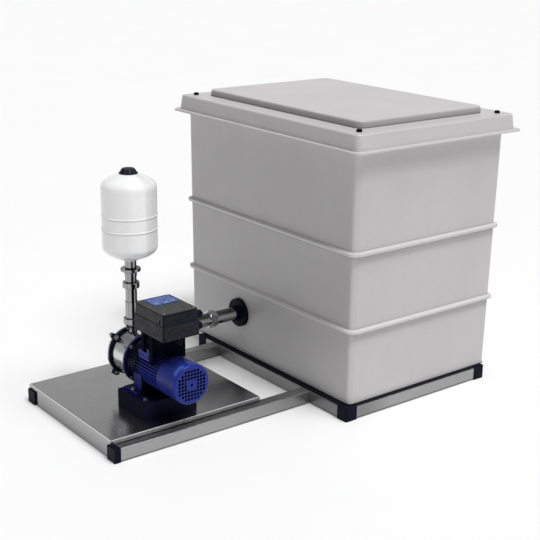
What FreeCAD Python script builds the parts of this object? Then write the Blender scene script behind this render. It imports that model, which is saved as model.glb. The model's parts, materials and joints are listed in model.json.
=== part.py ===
import FreeCAD, Part
import os
import math
import Sketcher
from FreeCAD import Vector, Rotation, Placement

# ---------------------------------------------------------------------------
# Packaged cold-water booster set: a moulded break tank on a square-tube frame,
# a skid with a pump tray, one horizontal multistage pump with a speed drive,
# a riser with a non-return valve, and a small expansion vessel.
# Frame: +Z up, +X from the pump end of the skid towards the tank, +Y along the
# tank's long side. Origin: centre of the footprint, at floor level. Units: mm.
# ---------------------------------------------------------------------------

doc = FreeCAD.newDocument("booster_set")
sheet = doc.addObject("Spreadsheet::Sheet", "Dims")
sheet.Label = "Dims"


class Q:
    """A number together with the sheet expression that it comes from."""

    def __init__(self, v, t):
        self.v = float(v)
        self.t = t

    @staticmethod
    def wrap(o):
        if isinstance(o, Q):
            return o
        return Q(o, "%.6f" % float(o))

    def __add__(self, o):
        o = Q.wrap(o)
        return Q(self.v + o.v, "(%s + %s)" % (self.t, o.t))

    def __radd__(self, o):
        return Q.wrap(o) + self

    def __sub__(self, o):
        o = Q.wrap(o)
        return Q(self.v - o.v, "(%s - %s)" % (self.t, o.t))

    def __rsub__(self, o):
        return Q.wrap(o) - self

    def __mul__(self, o):
        o = Q.wrap(o)
        return Q(self.v * o.v, "(%s * %s)" % (self.t, o.t))

    def __rmul__(self, o):
        return Q.wrap(o) * self

    def __truediv__(self, o):
        o = Q.wrap(o)
        return Q(self.v / o.v, "(%s / %s)" % (self.t, o.t))

    def __neg__(self):
        return Q(-self.v, "(0 - %s)" % self.t)


def root(q):
    return Q(math.sqrt(q.v), "sqrt(%s)" % q.t)


row_no = [0]


def dim(alias, value, note):
    row_no[0] += 1
    n = row_no[0]
    sheet.set("A%d" % n, note)
    sheet.set("B%d" % n, "%.6f" % float(value))
    sheet.setAlias("B%d" % n, alias)
    return Q(value, "Dims." + alias)


# --- frame and tank ---------------------------------------------------------
tube = dim("tube_size", 40, "square tube, outside")
wall = dim("tube_wall", 2, "square tube, wall")
tz = dim("tube_base", 2, "height of the tubes' underside")
proud = dim("cap_proud", 2, "how far plastic connectors stand proud of the tubes")
fx0 = dim("frame_left", 15.8, "tank frame, pump side")
fw = dim("frame_width", 592, "tank frame, width along X")
fy0 = dim("frame_front", -427, "tank frame, front side")
fl = dim("frame_length", 775, "tank frame, length along Y")
conn = dim("connector_size", 44, "corner connector, cube")
spig = dim("spigot_len", 30, "connector spigot inside the tube")
strip = dim("strip_thick", 2, "rubber strip between tube and board")
board = dim("board_thick", 3, "board under the tank")
tx0 = dim("tank_left", 35.8, "tank, bottom outline, pump side")
tw = dim("tank_width", 592, "tank, bottom outline along X")
ty = dim("tank_half", 415, "tank, bottom outline, half length along Y")
trad = dim("tank_corner", 16, "tank, vertical corner radius")
tin = dim("tank_inset", 3.5, "tank wall, inset under the rim on the side away from the pump")
draft = dim("tank_draft", 0.0128, "tank, draft per mm of height")
twall = dim("tank_wall", 5, "tank, wall thickness")
thigh = dim("tank_high", 767, "tank, height of the drafted wall")
rimt = dim("rim_thick", 3, "tank rim, thickness")
rimo = dim("rim_out", 43, "tank rim, beyond the bottom outline")
ribo = dim("rib_out", 12.5, "tank rib, how far it stands out")
ribh = dim("rib_high", 15, "tank rib, height with its shoulders")
riba = dim("rib_one", 269, "height of the lower rib")
ribb = dim("rib_two", 506, "height of the upper rib")
lipo = dim("lip_out", 46.4, "lid lip, beyond the bottom outline")
liph = dim("lip_high", 5.6, "lid lip, height")
skb = dim("skirt_out", 31.6, "lid skirt at the lip")
skt = dim("shoulder_out", 26.2, "lid skirt at the plateau")
platz = dim("plateau_high", 49, "lid skirt, height above the rim")
panb = dim("panel_in", 38.75, "raised panel, inset at its base")
pant = dim("panel_in_top", 41, "raised panel, inset at its top")
panh = dim("panel_high", 21, "raised panel, height")
bin_ = dim("bolt_in", 12, "lid bolt, inset from the bottom outline")

# --- skid and tray -----------------------------------------------------------
sx0 = dim("skid_left", -668.9, "end of the skid rails")
ra = dim("rail_front", -236.5, "front rail, centre line")
rb = dim("rail_rear", 245, "rear rail, centre line")
capx = dim("cap_beyond", 5.3, "rail end cap beyond the tube's end")
capl = dim("cap_len", 19.7, "rail end cap, length")
trz = dim("tray_top", 56.3, "height of the tray's top")
trt = dim("tray_thick", 1.5, "tray sheet")
trx1 = dim("tray_right", -154.6, "tray, edge towards the tank")
try0 = dim("tray_front", -227, "tray, front edge")
try1 = dim("tray_rear", 266, "tray, rear edge")

# --- pump --------------------------------------------------------------------
ax = dim("axis_across", -436.2, "pump axis, X")
az = dim("axis_high", 184, "pump axis, height")
covr = dim("cover_radius", 59.5, "fan cover, outside radius")
covt = dim("cover_thick", 1.5, "fan cover, sheet")
cy0 = dim("cover_front", -282, "fan cover, outer face")
cy1 = dim("cover_back", -190, "fan cover, edge at the motor")
finr = dim("fin_radius", 58.5, "motor fins, outside radius")
corer = dim("core_radius", 49, "motor housing, radius under the fins")
stbr = dim("stator_bore", 43, "motor housing, bore for the stator")
fint = dim("fin_thick", 2.2, "motor fin, thickness")
fincount = 40
by0 = dim("bracket_front", -57, "bracket flange, motor side")
by1 = dim("bracket_back", -32, "bracket flange, pump side")
brr = dim("bracket_radius", 75.4, "bracket flange, radius")
casr = dim("casing_radius", 67, "pump casing, outside radius")
cast = dim("casing_thick", 2.5, "pump casing, wall")
ringr = dim("ring_radius", 74.5, "casing end cover, rim radius")
flr = dim("flange_radius", 69.5, "pump casing, end flange radius")
tier = dim("tie_circle", 79, "tie bolts of the casing, pitch radius")
cey = dim("casing_end", 52, "pump casing, far end")
ringt = dim("ring_thick", 8, "casing end cover, rim")
shr = dim("shaft_radius", 7, "pump shaft")
impr = dim("impeller_radius", 45, "impeller")
plw = dim("plinth_half", 90.5, "plinth, half width")
ply0 = dim("plinth_front", -171, "plinth, front face")
ply1 = dim("plinth_rear", -26, "plinth, rear face")
plz = dim("plinth_top", 108, "plinth, height of its top")

# --- drive -------------------------------------------------------------------
ivw = dim("drive_width", 120, "drive box along X")
ivy0 = dim("drive_front", -232, "drive box, front")
ivy1 = dim("drive_rear", -78, "drive box, rear")
ivz0 = dim("drive_base", 306, "drive box, underside")
ivs = dim("drive_seam", 352, "drive box, seam height")
ivz1 = dim("drive_top", 386, "drive box, top")
keyt = dim("key_travel", 0.5, "travel of a key")

# --- pipework ----------------------------------------------------------------
pr_ = dim("pipe_radius", 16.85, "1 inch pipe, outside radius")
pb = dim("pipe_bore", 14, "1 inch pipe, bore radius")
sy = dim("suction_line", 133, "suction line, Y")
sr = dim("suction_radius", 21.2, "1 1/4 inch suction pipe, outside radius")
sb = dim("suction_bore", 18, "suction pipe, bore radius")
elr = dim("elbow_radius", 38, "suction elbow, bend radius")
unx = dim("union_place", -83.6, "suction union, X")
disr = dim("outlet_disc", 47, "tank outlet flange, radius")
ry = dim("riser_place", 36, "riser, Y")
vr = dim("vessel_radius", 81, "expansion vessel, radius")
vz0 = dim("vessel_base", 472, "expansion vessel, underside")
vz1 = dim("vessel_top", 732, "expansion vessel, crown")
vk = dim("vessel_knuckle", 26, "vessel dome, knuckle radius")
vc = dim("vessel_crown", 118, "vessel dome, crown radius")
vt = dim("vessel_wall", 2.5, "vessel, wall")
portr = dim("port_radius", 15.15, "discharge port, 1 inch pipe thread, minor radius")
portl = dim("port_len", 18, "discharge port, depth of thread")
inletr = dim("inlet_radius", 10.48, "float valve tail, half inch pipe thread")
overr = dim("overflow_radius", 11, "overflow tail, 22 mm pipe")
doc.recompute()

count = [0]


def uid(stem):
    count[0] += 1
    return "%s_%03d" % (stem, count[0])


def bind(obj, prop, q):
    q = Q.wrap(q)
    if "Dims." in q.t:
        obj.setExpression(prop, q.t)
    return q.v


def place(obj, pos, rot=None):
    pos = [Q.wrap(p) for p in pos]
    obj.Placement = Placement(Vector(*[p.v for p in pos]), rot or Rotation())
    for a, p in zip("xyz", pos):
        if "Dims." in p.t:
            obj.setExpression("Placement.Base." + a, p.t)


ROT = {"z": Rotation(),
       "y": Rotation(Vector(1, 0, 0), -90),    # local Z to +Y, local Y to -Z
       "x": Rotation(Vector(0, 1, 0), 90),     # local Z to +X, local X to -Z
       "-y": Rotation(Vector(1, 0, 0), 90),
       "-x": Rotation(Vector(0, 1, 0), -90)}


def box(x0, x1, y0, y1, z0, z1, label=None):
    o = doc.addObject("Part::Box", uid("box"))
    o.Length = bind(o, "Length", Q.wrap(x1) - x0)
    o.Width = bind(o, "Width", Q.wrap(y1) - y0)
    o.Height = bind(o, "Height", Q.wrap(z1) - z0)
    place(o, (x0, y0, z0))
    if label:
        o.Label = label
    return o


def cyl(r, a0, a1, axis, c, label=None):
    """Cylinder along axis from a0 to a1; c is its centre in the other two axes."""
    o = doc.addObject("Part::Cylinder", uid("cyl"))
    o.Radius = bind(o, "Radius", r)
    o.Height = bind(o, "Height", Q.wrap(a1) - a0)
    p = {"z": (c[0], c[1], a0), "y": (c[0], a0, c[1]), "x": (a0, c[0], c[1])}[axis]
    place(o, p, ROT[axis])
    if label:
        o.Label = label
    return o


def hexa(r, a0, a1, axis, c):
    o = doc.addObject("Part::Prism", uid("hex"))
    o.Polygon = 6
    o.Circumradius = bind(o, "Circumradius", r)
    o.Height = bind(o, "Height", Q.wrap(a1) - a0)
    p = {"z": (c[0], c[1], a0), "y": (c[0], a0, c[1]), "x": (a0, c[0], c[1])}[axis]
    place(o, p, ROT[axis])
    return o


def cone(r0, r1, a0, a1, axis, c):
    o = doc.addObject("Part::Cone", uid("cone"))
    o.Radius1 = bind(o, "Radius1", r0)
    o.Radius2 = bind(o, "Radius2", r1)
    o.Height = bind(o, "Height", Q.wrap(a1) - a0)
    p = {"z": (c[0], c[1], a0), "y": (c[0], a0, c[1]), "x": (a0, c[0], c[1])}[axis]
    place(o, p, ROT[axis])
    return o


def fuse(items, label=None):
    o = doc.addObject("Part::MultiFuse", uid("fuse"))
    o.Shapes = items
    if label:
        o.Label = label
    return o


def cut(base, tools, label=None):
    tools = tools if isinstance(tools, list) else [tools]
    o = doc.addObject("Part::Cut", uid("cut"))
    o.Base = base
    o.Tool = tools[0] if len(tools) == 1 else fuse(tools)
    if label:
        o.Label = label
    return o


def group(items, label):
    o = doc.addObject("Part::Compound", uid("group"))
    o.Links = items
    o.Label = label
    return o


def new_body(label, pos=(0, 0, 0), rot=None):
    b = doc.addObject("PartDesign::Body", uid("body"))
    b.Label = label
    place(b, pos, rot)
    return b


def sketch(b, plane, off=None):
    s = b.newObject("Sketcher::SketchObject", uid("sketch"))
    support = [o for o in b.Origin.OriginFeatures if o.Role == plane][0]
    s.AttachmentSupport = [(support, "")]
    s.MapMode = "FlatFace"
    if off is not None:
        q = Q.wrap(off)
        s.AttachmentOffset = Placement(Vector(0, 0, q.v), Rotation())
        if "Dims." in q.t:
            s.setExpression("AttachmentOffset.Base.z", q.t)
    return s


def con(s, kind, *args):
    q = args[-1]
    q = Q.wrap(q)
    i = s.addConstraint(Sketcher.Constraint(kind, *(list(args[:-1]) + [q.v])))
    if "Dims." in q.t:
        s.setExpression("Constraints[%d]" % i, q.t)
    return i


def pin_point(s, g, p, x, y):
    x, y = Q.wrap(x), Q.wrap(y)
    if abs(x.v) < 1e-9:
        s.addConstraint(Sketcher.Constraint("PointOnObject", g, p, -2))
    else:
        con(s, "DistanceX", -1, 1, g, p, x)
    if abs(y.v) < 1e-9:
        s.addConstraint(Sketcher.Constraint("PointOnObject", g, p, -1))
    else:
        con(s, "DistanceY", -1, 1, g, p, y)


def ring(s, x, y, r):
    x, y, r = Q.wrap(x), Q.wrap(y), Q.wrap(r)
    g = s.addGeometry(Part.Circle(Vector(x.v, y.v, 0), Vector(0, 0, 1), r.v), False)
    pin_point(s, g, 3, x, y)
    con(s, "Radius", g, r)
    return g


def rrect(s, x0, x1, y0, y1, r):
    """Rectangle with rounded corners: four lines and four tangent arcs."""
    x0, x1, y0, y1, r = [Q.wrap(q) for q in (x0, x1, y0, y1, r)]
    a, b, c, d, e = x0.v, x1.v, y0.v, y1.v, r.v
    N = Vector(0, 0, 1)
    def L(p, q):
        return Part.LineSegment(Vector(p[0], p[1], 0), Vector(q[0], q[1], 0))
    def A(cx, cy, a0):
        return Part.ArcOfCircle(Part.Circle(Vector(cx, cy, 0), N, e), math.radians(a0), math.radians(a0 + 90))
    geo = [L((a + e, c), (b - e, c)), A(b - e, c + e, -90),
           L((b, c + e), (b, d - e)), A(b - e, d - e, 0),
           L((b - e, d), (a + e, d)), A(a + e, d - e, 90),
           L((a, d - e), (a, c + e)), A(a + e, c + e, 180)]
    g = [s.addGeometry(k, False) for k in geo]
    for i in range(8):
        s.addConstraint(Sketcher.Constraint("Tangent", g[i], 2, g[(i + 1) % 8], 1))
    s.addConstraint(Sketcher.Constraint("Horizontal", g[0]))
    s.addConstraint(Sketcher.Constraint("Horizontal", g[4]))
    s.addConstraint(Sketcher.Constraint("Vertical", g[2]))
    s.addConstraint(Sketcher.Constraint("Vertical", g[6]))
    for i, j in ((1, 3), (3, 5), (5, 7)):
        s.addConstraint(Sketcher.Constraint("Equal", g[i], g[j]))
    con(s, "DistanceX", -1, 1, g[6], 1, x0)
    con(s, "DistanceX", -1, 1, g[2], 1, x1)
    con(s, "DistanceY", -1, 1, g[0], 1, y0)
    con(s, "DistanceY", -1, 1, g[4], 1, y1)
    con(s, "Radius", g[1], r)


def outline(s, path):
    """Closed profile. Each vertex is (x, y) or (x, y, R, turn): the edge that ends
    there is an arc of radius R, turn +1 counter-clockwise, -1 clockwise."""
    n = len(path)
    pts = [(Q.wrap(p[0]), Q.wrap(p[1])) for p in path]
    ends = []
    for i in range(n):
        j = (i - 1) % n
        p, q = pts[j], pts[i]
        if len(path[i]) == 2:
            g = s.addGeometry(Part.LineSegment(Vector(p[0].v, p[1].v, 0), Vector(q[0].v, q[1].v, 0)), False)
            ends.append((g, 1, 2, None))
        else:
            R, turn = Q.wrap(path[i][2]), path[i][3]
            a = (p[0].v, p[1].v) if turn > 0 else (q[0].v, q[1].v)
            b = (q[0].v, q[1].v) if turn > 0 else (p[0].v, p[1].v)
            mx, my = (a[0] + b[0]) / 2, (a[1] + b[1]) / 2
            dx, dy = b[0] - a[0], b[1] - a[1]
            half = math.hypot(dx, dy) / 2
            lift = math.sqrt(max(R.v * R.v - half * half, 0.0))
            cx, cy = mx - dy / (2 * half) * lift, my + dx / (2 * half) * lift
            a0, a1 = math.atan2(a[1] - cy, a[0] - cx), math.atan2(b[1] - cy, b[0] - cx)
            g = s.addGeometry(Part.ArcOfCircle(Part.Circle(Vector(cx, cy, 0), Vector(0, 0, 1), R.v), a0, a1), False)
            ends.append((g, 1, 2, R) if turn > 0 else (g, 2, 1, R))
    for i in range(n):
        g, st, en, R = ends[i]
        g2, st2, en2, R2 = ends[(i + 1) % n]
        s.addConstraint(Sketcher.Constraint("Coincident", g, en, g2, st2))
        pin_point(s, g, en, pts[i][0], pts[i][1])
        if R is not None:
            con(s, "Radius", g, R)


def pad(b, s, length, rev=False):
    f = b.newObject("PartDesign::Pad", uid("pad"))
    f.Profile = s
    f.Length = bind(f, "Length", length)
    f.Reversed = rev
    return f


def pocket(b, s, length, rev=False):
    doc.recompute()
    before = b.Shape.Volume
    f = b.newObject("PartDesign::Pocket", uid("pocket"))
    f.Profile = s
    f.Length = bind(f, "Length", length)
    f.Reversed = rev
    doc.recompute()
    if not b.Shape.Volume < before - 1e-3:
        raise RuntimeError("pocket cuts nothing in " + b.Label)
    return f


def revolve(b, s):
    f = b.newObject("PartDesign::Revolution", uid("revolve"))
    f.Profile = s
    f.ReferenceAxis = (s, ["V_Axis"])
    f.Angle = 360
    return f


def loft(b, sections, sub=False):
    f = b.newObject("PartDesign::SubtractiveLoft" if sub else "PartDesign::AdditiveLoft", uid("loft"))
    f.Profile = sections[0]
    f.Sections = sections[1:]
    f.Ruled = True
    return f


def fillet(b, base, radius, pick):
    doc.recompute()
    names = ["Edge%d" % (i + 1) for i, e in enumerate(base.Shape.Edges) if pick(e)]
    f = b.newObject("PartDesign::Fillet", uid("fillet"))
    f.Base = (base, names)
    f.Radius = radius
    doc.recompute()
    return f


def spun(label, path, axis, pos):
    """Solid of revolution: profile as (radius, distance along the axis)."""
    b = new_body(label, pos, ROT[axis])
    s = sketch(b, "XZ_Plane")
    outline(s, path)
    revolve(b, s)
    return b


def tube_rings(r0, r1, a0, a1):
    return [(r0, a0), (r1, a0), (r1, a1), (r0, a1)]


nodes = {}


def keep(o):
    nodes[o.Label] = o
    return o


# ---------------------------------------------------------------------------
# Square tubes of the tank frame and of the skid
# ---------------------------------------------------------------------------
half = tube / 2
tzc = tz + half


def square_tube(label, axis, a0, a1, c):
    """Hollow square tube along X or Y, with rounded corners."""
    pos = (a0, c, tzc) if axis == "x" else (c, a0, tzc)
    b = new_body(label, pos)
    s = sketch(b, "YZ_Plane" if axis == "x" else "XZ_Plane")
    rrect(s, -half, half, -half, half, 3.5)
    rrect(s, -(half - wall), half - wall, -(half - wall), half - wall, 1.5)
    pad(b, s, Q.wrap(a1) - a0, rev=(axis == "y"))
    return b


c0 = conn - proud                       # connector body beyond the frame's outside edge
keep(group([square_tube("short_tube_front", "x", fx0 + c0, fx0 + fw - c0, fy0 + half),
            square_tube("short_tube_rear", "x", fx0 + c0, fx0 + fw - c0, fy0 + fl - half),
            square_tube("long_tube_left", "y", fy0 + c0, fy0 + fl - c0, fx0 + half),
            square_tube("long_tube_right", "y", fy0 + c0, fy0 + fl - c0, fx0 + fw - half)], "frame_tubes"))
cross = [square_tube("rail_tube_front", "x", sx0, fx0, ra), square_tube("rail_tube_rear", "x", sx0, fx0, rb),
         square_tube("cross_tube_one", "y", ra + half, rb - half, sx0 + 38),
         square_tube("cross_tube_two", "y", ra + half, rb - half, ax),
         square_tube("cross_tube_three", "y", ra + half, rb - half, trx1 - 24),
         square_tube("cross_tube_four", "y", fy0 + tube, fy0 + fl - tube, fx0 + fw / 2)]
keep(group(cross, "skid_tubes"))

# corner connectors: a cube with two spigots that push into the tubes
sp = half - wall - 0.5
links = []
for ix, sx in ((fx0 - proud, 1), (fx0 + fw + proud, -1)):
    for iy, sgy in ((fy0 - proud, 1), (fy0 + fl + proud, -1)):
        xa, xb = (ix, ix + conn) if sx > 0 else (ix - conn, ix)
        ya, yb = (iy, iy + conn) if sgy > 0 else (iy - conn, iy)
        bdy = new_body(uid("connector_core"), (0, 0, 0))
        sk = sketch(bdy, "XY_Plane")
        rrect(sk, xa, xb, ya, yb, 4)
        p = pad(bdy, sk, conn)
        fillet(bdy, p, 1.6, lambda e: abs(e.BoundBox.ZMin - 44) < 1e-6 and abs(e.BoundBox.ZMax - 44) < 1e-6)
        cx = ix + sx * (proud + half)
        cyy = iy + sgy * (proud + half)
        xs0, xs1 = (xb - 1, xb + spig) if sx > 0 else (xa - spig, xa + 1)
        ys0, ys1 = (yb - 1, yb + spig) if sgy > 0 else (ya - spig, ya + 1)
        links.append(fuse([bdy, box(xs0, xs1, cyy - sp, cyy + sp, tzc - sp, tzc + sp),
                           box(cx - sp, cx + sp, ys0, ys1, tzc - sp, tzc + sp)]))
keep(group(links, "corner_connectors"))

# rail end caps: cups pushed over the rails' ends, which also stand on the floor
caps = []
for rc in (ra, rb):
    b = new_body(uid("end_cap"), (sx0 - capx, rc, conn / 2))
    s = sketch(b, "YZ_Plane")
    rrect(s, -conn / 2, conn / 2, -conn / 2, conn / 2, 4)
    p = pad(b, s, capl)
    x_out = (sx0 - capx).v
    f = fillet(b, p, 1.6, lambda e: abs(e.BoundBox.XMin) < 1e-6 and abs(e.BoundBox.XMax) < 1e-6)
    s = sketch(b, "YZ_Plane", capx)
    rrect(s, -half - 0.05, half + 0.05, -half - 0.05, half + 0.05, 3.4)
    pocket(b, s, capl, rev=True)
    caps.append(b)
keep(group(caps, "rail_end_caps"))

# rubber strips on the frame tubes and under the tray's folds
sz0, sz1 = tz + tube, tz + tube + strip
keep(group([
    box(fx0 + c0, fx0 + fw - c0, fy0 + 1, fy0 + tube - 1, sz0, sz1),
    box(fx0 + c0, fx0 + fw - c0, fy0 + fl - tube + 1, fy0 + fl - 1, sz0, sz1),
    box(fx0 + 1, fx0 + tube - 1, fy0 + c0, fy0 + fl - c0, sz0, sz1),
    box(fx0 + fw - tube + 1, fx0 + fw - 1, fy0 + c0, fy0 + fl - c0, sz0, sz1),
    box(sx0 + capl, trx1, try0 - 1, try0 + 9, sz0, sz1),
    box(sx0 + capl, trx1, try1 - 12, try1 - 2, sz0, sz1)], "rubber_strips"))

# board under the tank
tx1 = tx0 + tw
bz0 = sz1
tankz = bz0 + board
b = new_body("base_board", (0, 0, bz0))
s = sketch(b, "XY_Plane")
rrect(s, tx0, tx1, -ty, ty, trad)
pad(b, s, board)
keep(b)

# ---------------------------------------------------------------------------
# Tank: drafted moulding with two ribs, a rim and corner bosses for the lid
# ---------------------------------------------------------------------------


def tank_sketch(b, z, off, rad):
    s = sketch(b, "XY_Plane", z)
    rrect(s, tx0 - off, tx1 + off, -ty - off, ty + off, rad)
    return s


def wall_sketch(b, z, off, rad):
    s = sketch(b, "XY_Plane", z)
    rrect(s, tx0 - off, tx1 - tin + off, -ty - off, ty + off, rad)
    return s


top = draft * thigh
b = new_body("tank_shell", (0, 0, tankz))
loft(b, [wall_sketch(b, 0, Q.wrap(0), trad), wall_sketch(b, thigh, top, trad + top)])
for rz in (riba, ribb):
    z0 = rz - tankz
    lv = []
    for dz, out in ((0.0, 0.4), (0.22, 1.0), (0.72, 1.0), (1.0, 0.1)):
        zz = z0 + ribh * dz
        o = draft * zz + ribo * out
        lv.append(wall_sketch(b, zz, o, trad + o))
    loft(b, lv)
s = tank_sketch(b, thigh, rimo, Q.wrap(19))
pad(b, s, rimt)
f = loft(b, [wall_sketch(b, twall, -twall + draft * twall, trad - twall),
             wall_sketch(b, thigh + rimt, top - twall, trad + top - twall)], sub=True)
bx = (tx0 + bin_, tx1 - bin_)
byy = (-(ty - bin_), ty - bin_)
s = sketch(b, "XY_Plane", thigh - 40)
for x in bx:
    for y in byy:
        ring(s, x, y, 17)
pad(b, s, rimt + 40)
s = sketch(b, "XY_Plane", thigh + rimt)
for x in bx:
    for y in byy:
        ring(s, x, y, 4.3)
pocket(b, s, 36)
oz = az                                  # outlet height
fvx, fvz = tx0 + tw / 2, tankz + 723     # float valve
ovx, ovz = tx0 + tw / 2 + 130, tankz + 690
tank = keep(cut(b, [cyl(25.2, tx0 - 12, tx0 + 12, "x", (sy, oz)),
                    cyl(inletr + 1.62, ty - 10, ty + 20, "y", (fvx, fvz)),
                    cyl(overr + 3.1, ty - 10, ty + 20, "y", (ovx, ovz))], "tank_body"))

# lid: lip over the rim, skirt, plateau and raised panel, hollow underneath
rz = tankz + thigh
b = new_body("lid_shell", (0, 0, rz))
s = tank_sketch(b, 0, lipo, Q.wrap(22))
pad(b, s, liph)
loft(b, [tank_sketch(b, liph, skb, Q.wrap(20)), tank_sketch(b, platz + rimt, skt, Q.wrap(18))])
lt = loft(b, [tank_sketch(b, platz + rimt, -panb, 28), tank_sketch(b, platz + rimt + panh, -pant, 26)])
zl, zp, zt = liph.v, (platz + rimt).v, (platz + rimt + panh).v


def at_level(e, z):
    return abs(e.BoundBox.ZMin - z) < 1e-4 and abs(e.BoundBox.ZMax - z) < 1e-4


def span(e):
    return max(abs(e.BoundBox.XMin - 331.8), abs(e.BoundBox.XMax - 331.8))


f1 = fillet(b, lt, 6.0, lambda e: at_level(e, zt) or (at_level(e, zp) and span(e) > 296 + 1) or
            (at_level(e, zp) and max(abs(e.BoundBox.YMin), abs(e.BoundBox.YMax)) > 416))
f2 = fillet(b, f1, 1.8, lambda e: at_level(e, zl) and (span(e) > 296 + 38 or max(abs(e.BoundBox.YMin), abs(e.BoundBox.YMax)) > 415 + 38))
s = tank_sketch(b, 0, rimo + 1.2, Q.wrap(20))
pocket(b, s, rimt, rev=True)
loft(b, [tank_sketch(b, rimt, skb - 5, Q.wrap(15)), tank_sketch(b, platz + rimt - 5, skt - 5, Q.wrap(13))], sub=True)
loft(b, [tank_sketch(b, platz + rimt - 5, -panb - 5, 23), tank_sketch(b, platz + rimt + panh - 5, -pant - 5, 21)], sub=True)
s = sketch(b, "XY_Plane", rimt)
for x in bx:
    for y in byy:
        ring(s, x, y, 10)
pad(b, s, platz - 4)
s = sketch(b, "XY_Plane", platz + rimt)
for x in bx:
    for y in byy:
        ring(s, x, y, 4.3)
pocket(b, s, platz + 2)
b.Label = "tank_lid"
keep(b)
lidz = rz + rimt + platz

bolts, bcaps = [], []
for x in bx:
    for y in byy:
        bolts.append(fuse([cyl(4, lidz - 76, lidz, "z", (x, y)), hexa(6.4, lidz, lidz + 4, "z", (x, y))]))
        bcaps.append(spun(uid("cap"), [(0, 4.3), (6.8, 4.3), (6.8, 0), (8.4, 0), (8.4, 5.4), (5.8, 8, 2.6, 1), (0, 8)], "z", (x, y, lidz)))
keep(group(bolts, "lid_bolts"))
keep(group(bcaps, "lid_bolt_caps"))

# ---------------------------------------------------------------------------
# Tank outlet, suction line with its union, and the elbow to the pump
# ---------------------------------------------------------------------------
wx = tx0 - draft * (oz + disr - tankz)        # outside face of the wall at the disc's top
keep(spun("outlet_flange", [(sr + 0.05, 0), (25.5, 0), (25.5, 11), (30, 13), (disr - 1.5, 14), (disr, 15.5, 1.5, 1), (disr, 26.5),
                            (25, 26.5), (25, 44), (sb, 44), (sb, 9), (sr + 0.05, 9)], "x", (wx - 26.8, sy, oz)))
nut_a = spun(uid("nut"), tube_rings(Q.wrap(25.05), Q.wrap(37), 0, 11), "x", (tx0 + twall - 1.1, sy, oz))
pipe_t = spun("pipe_to_tank", tube_rings(sb, sr, 0.4, wx - 18 - unx), "x", (unx, sy, oz))
keep(spun("suction_union", [(sr + 0.05, -15), (24.4, -15), (24.4, -9), (27.6, -8), (29, -6.6), (29, 1.2), (28, 2.2), (26, 2.2), (26, 3.4), (27.4, 3.4), (28, 4), (28, 8), (27, 9),
                            (24.4, 9), (24.4, 15), (sr + 0.05, 15)], "x", (unx, sy, oz)))
ex = ax + elr
pipe_p = spun("pipe_to_pump", tube_rings(sb, sr, 22, unx - 0.4 - ex), "x", (ex, sy, oz))
keep(group([pipe_t, pipe_p], "suction_pipes"))
to = doc.addObject("Part::Torus", uid("torus"))
to.Radius1 = bind(to, "Radius1", elr)
to.Radius2 = 24
to.Angle3 = 90
place(to, (ex, sy - elr, oz), Rotation(Vector(0, 0, 1), 90))
ti = doc.addObject("Part::Torus", uid("torus"))
ti.Radius1 = bind(ti, "Radius1", elr)
ti.Radius2 = bind(ti, "Radius2", sb)
ti.Angle3 = 90
place(ti, (ex, sy - elr, oz), Rotation(Vector(0, 0, 1), 90))
keep(cut(fuse([to, cyl(26.5, ex, ex + 21.8, "x", (sy, oz)), cyl(26.5, sy - elr - 10.8, sy - elr, "y", (ax, oz))]),
         [ti, cyl(sb, ex - 0.01, ex + 30, "x", (sy, oz)), cyl(sb, sy - elr - 20, sy - elr + 0.01, "y", (ax, oz))], "suction_elbow"))

# float valve, its backnut, the overflow tail and its backnut
wy = ty + draft * (fvz - tankz)               # outside face of the rear wall there
wo = ty + draft * (ovz - tankz)
yv = wy - twall
piv_y, piv_z = yv - 42, fvz - 14
ears = [box(fvx + a, fvx + a + 4, piv_y - 9, yv - 22, piv_z - 9, fvz + 6) for a in (7.5, -11.5)]
keep(cut(fuse([cyl(inletr, yv - 4, yv + 31, "y", (fvx, fvz)), cyl(inletr + 1.52, yv - 4, yv + 14, "y", (fvx, fvz)), cyl(17, yv - 6, yv - 0.2, "y", (fvx, fvz)),
               cyl(13, yv - 30, yv - 6, "y", (fvx, fvz))] + ears),
         [cyl(6, yv - 20, yv + 32, "y", (fvx, fvz)), cyl(3.06, fvx - 20, fvx + 20, "x", (piv_y, piv_z))], "float_valve_body"))
nut_b = spun(uid("nut"), tube_rings(inletr + 1.57, Q.wrap(18), 0, 8), "y", (fvx, wy + 0.4, fvz))
keep(cut(fuse([cyl(overr, wo - twall, wo + 26, "y", (ovx, ovz)), cyl(overr + 3, wo - twall - 6, wo + 6, "y", (ovx, ovz)),
               cyl(20, wo - twall - 6, wo - twall - 0.2, "y", (ovx, ovz))]),
         cyl(overr - 2, wo - 30, wo + 40, "y", (ovx, ovz)), "overflow_connector"))
nut_c = spun(uid("nut"), tube_rings(overr + 3.05, Q.wrap(21), 0, 5), "y", (ovx, wo + 0.4, ovz))
keep(group([nut_a, nut_b, nut_c], "tank_backnuts"))

# float arm with its pivot pin, and the ball; they hang at the lower stop
arm_rot = Rotation(Vector(1, 0, 0), 135)      # local Z to (0, -cos 45, -sin 45)
arm_len = 230.0
rod = doc.addObject("Part::Cylinder", uid("rod"))
rod.Radius, rod.Height = 3, arm_len - 50.05
place(rod, (fvx, piv_y, piv_z), arm_rot)
keep(fuse([rod, cyl(7, fvx - 6, fvx + 6, "x", (piv_y, piv_z)), cyl(3, fvx - 13, fvx + 13, "x", (piv_y, piv_z))], "float_arm"))
k45 = math.sqrt(0.5) * arm_len
ball = doc.addObject("Part::Sphere", uid("ball"))
ball.Radius = 50
place(ball, (fvx, piv_y - k45, piv_z - k45))
bin2 = doc.addObject("Part::Sphere", uid("ball"))
bin2.Radius = 48
place(bin2, (fvx, piv_y - k45, piv_z - k45))
keep(cut(ball, bin2, "float_ball"))

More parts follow.
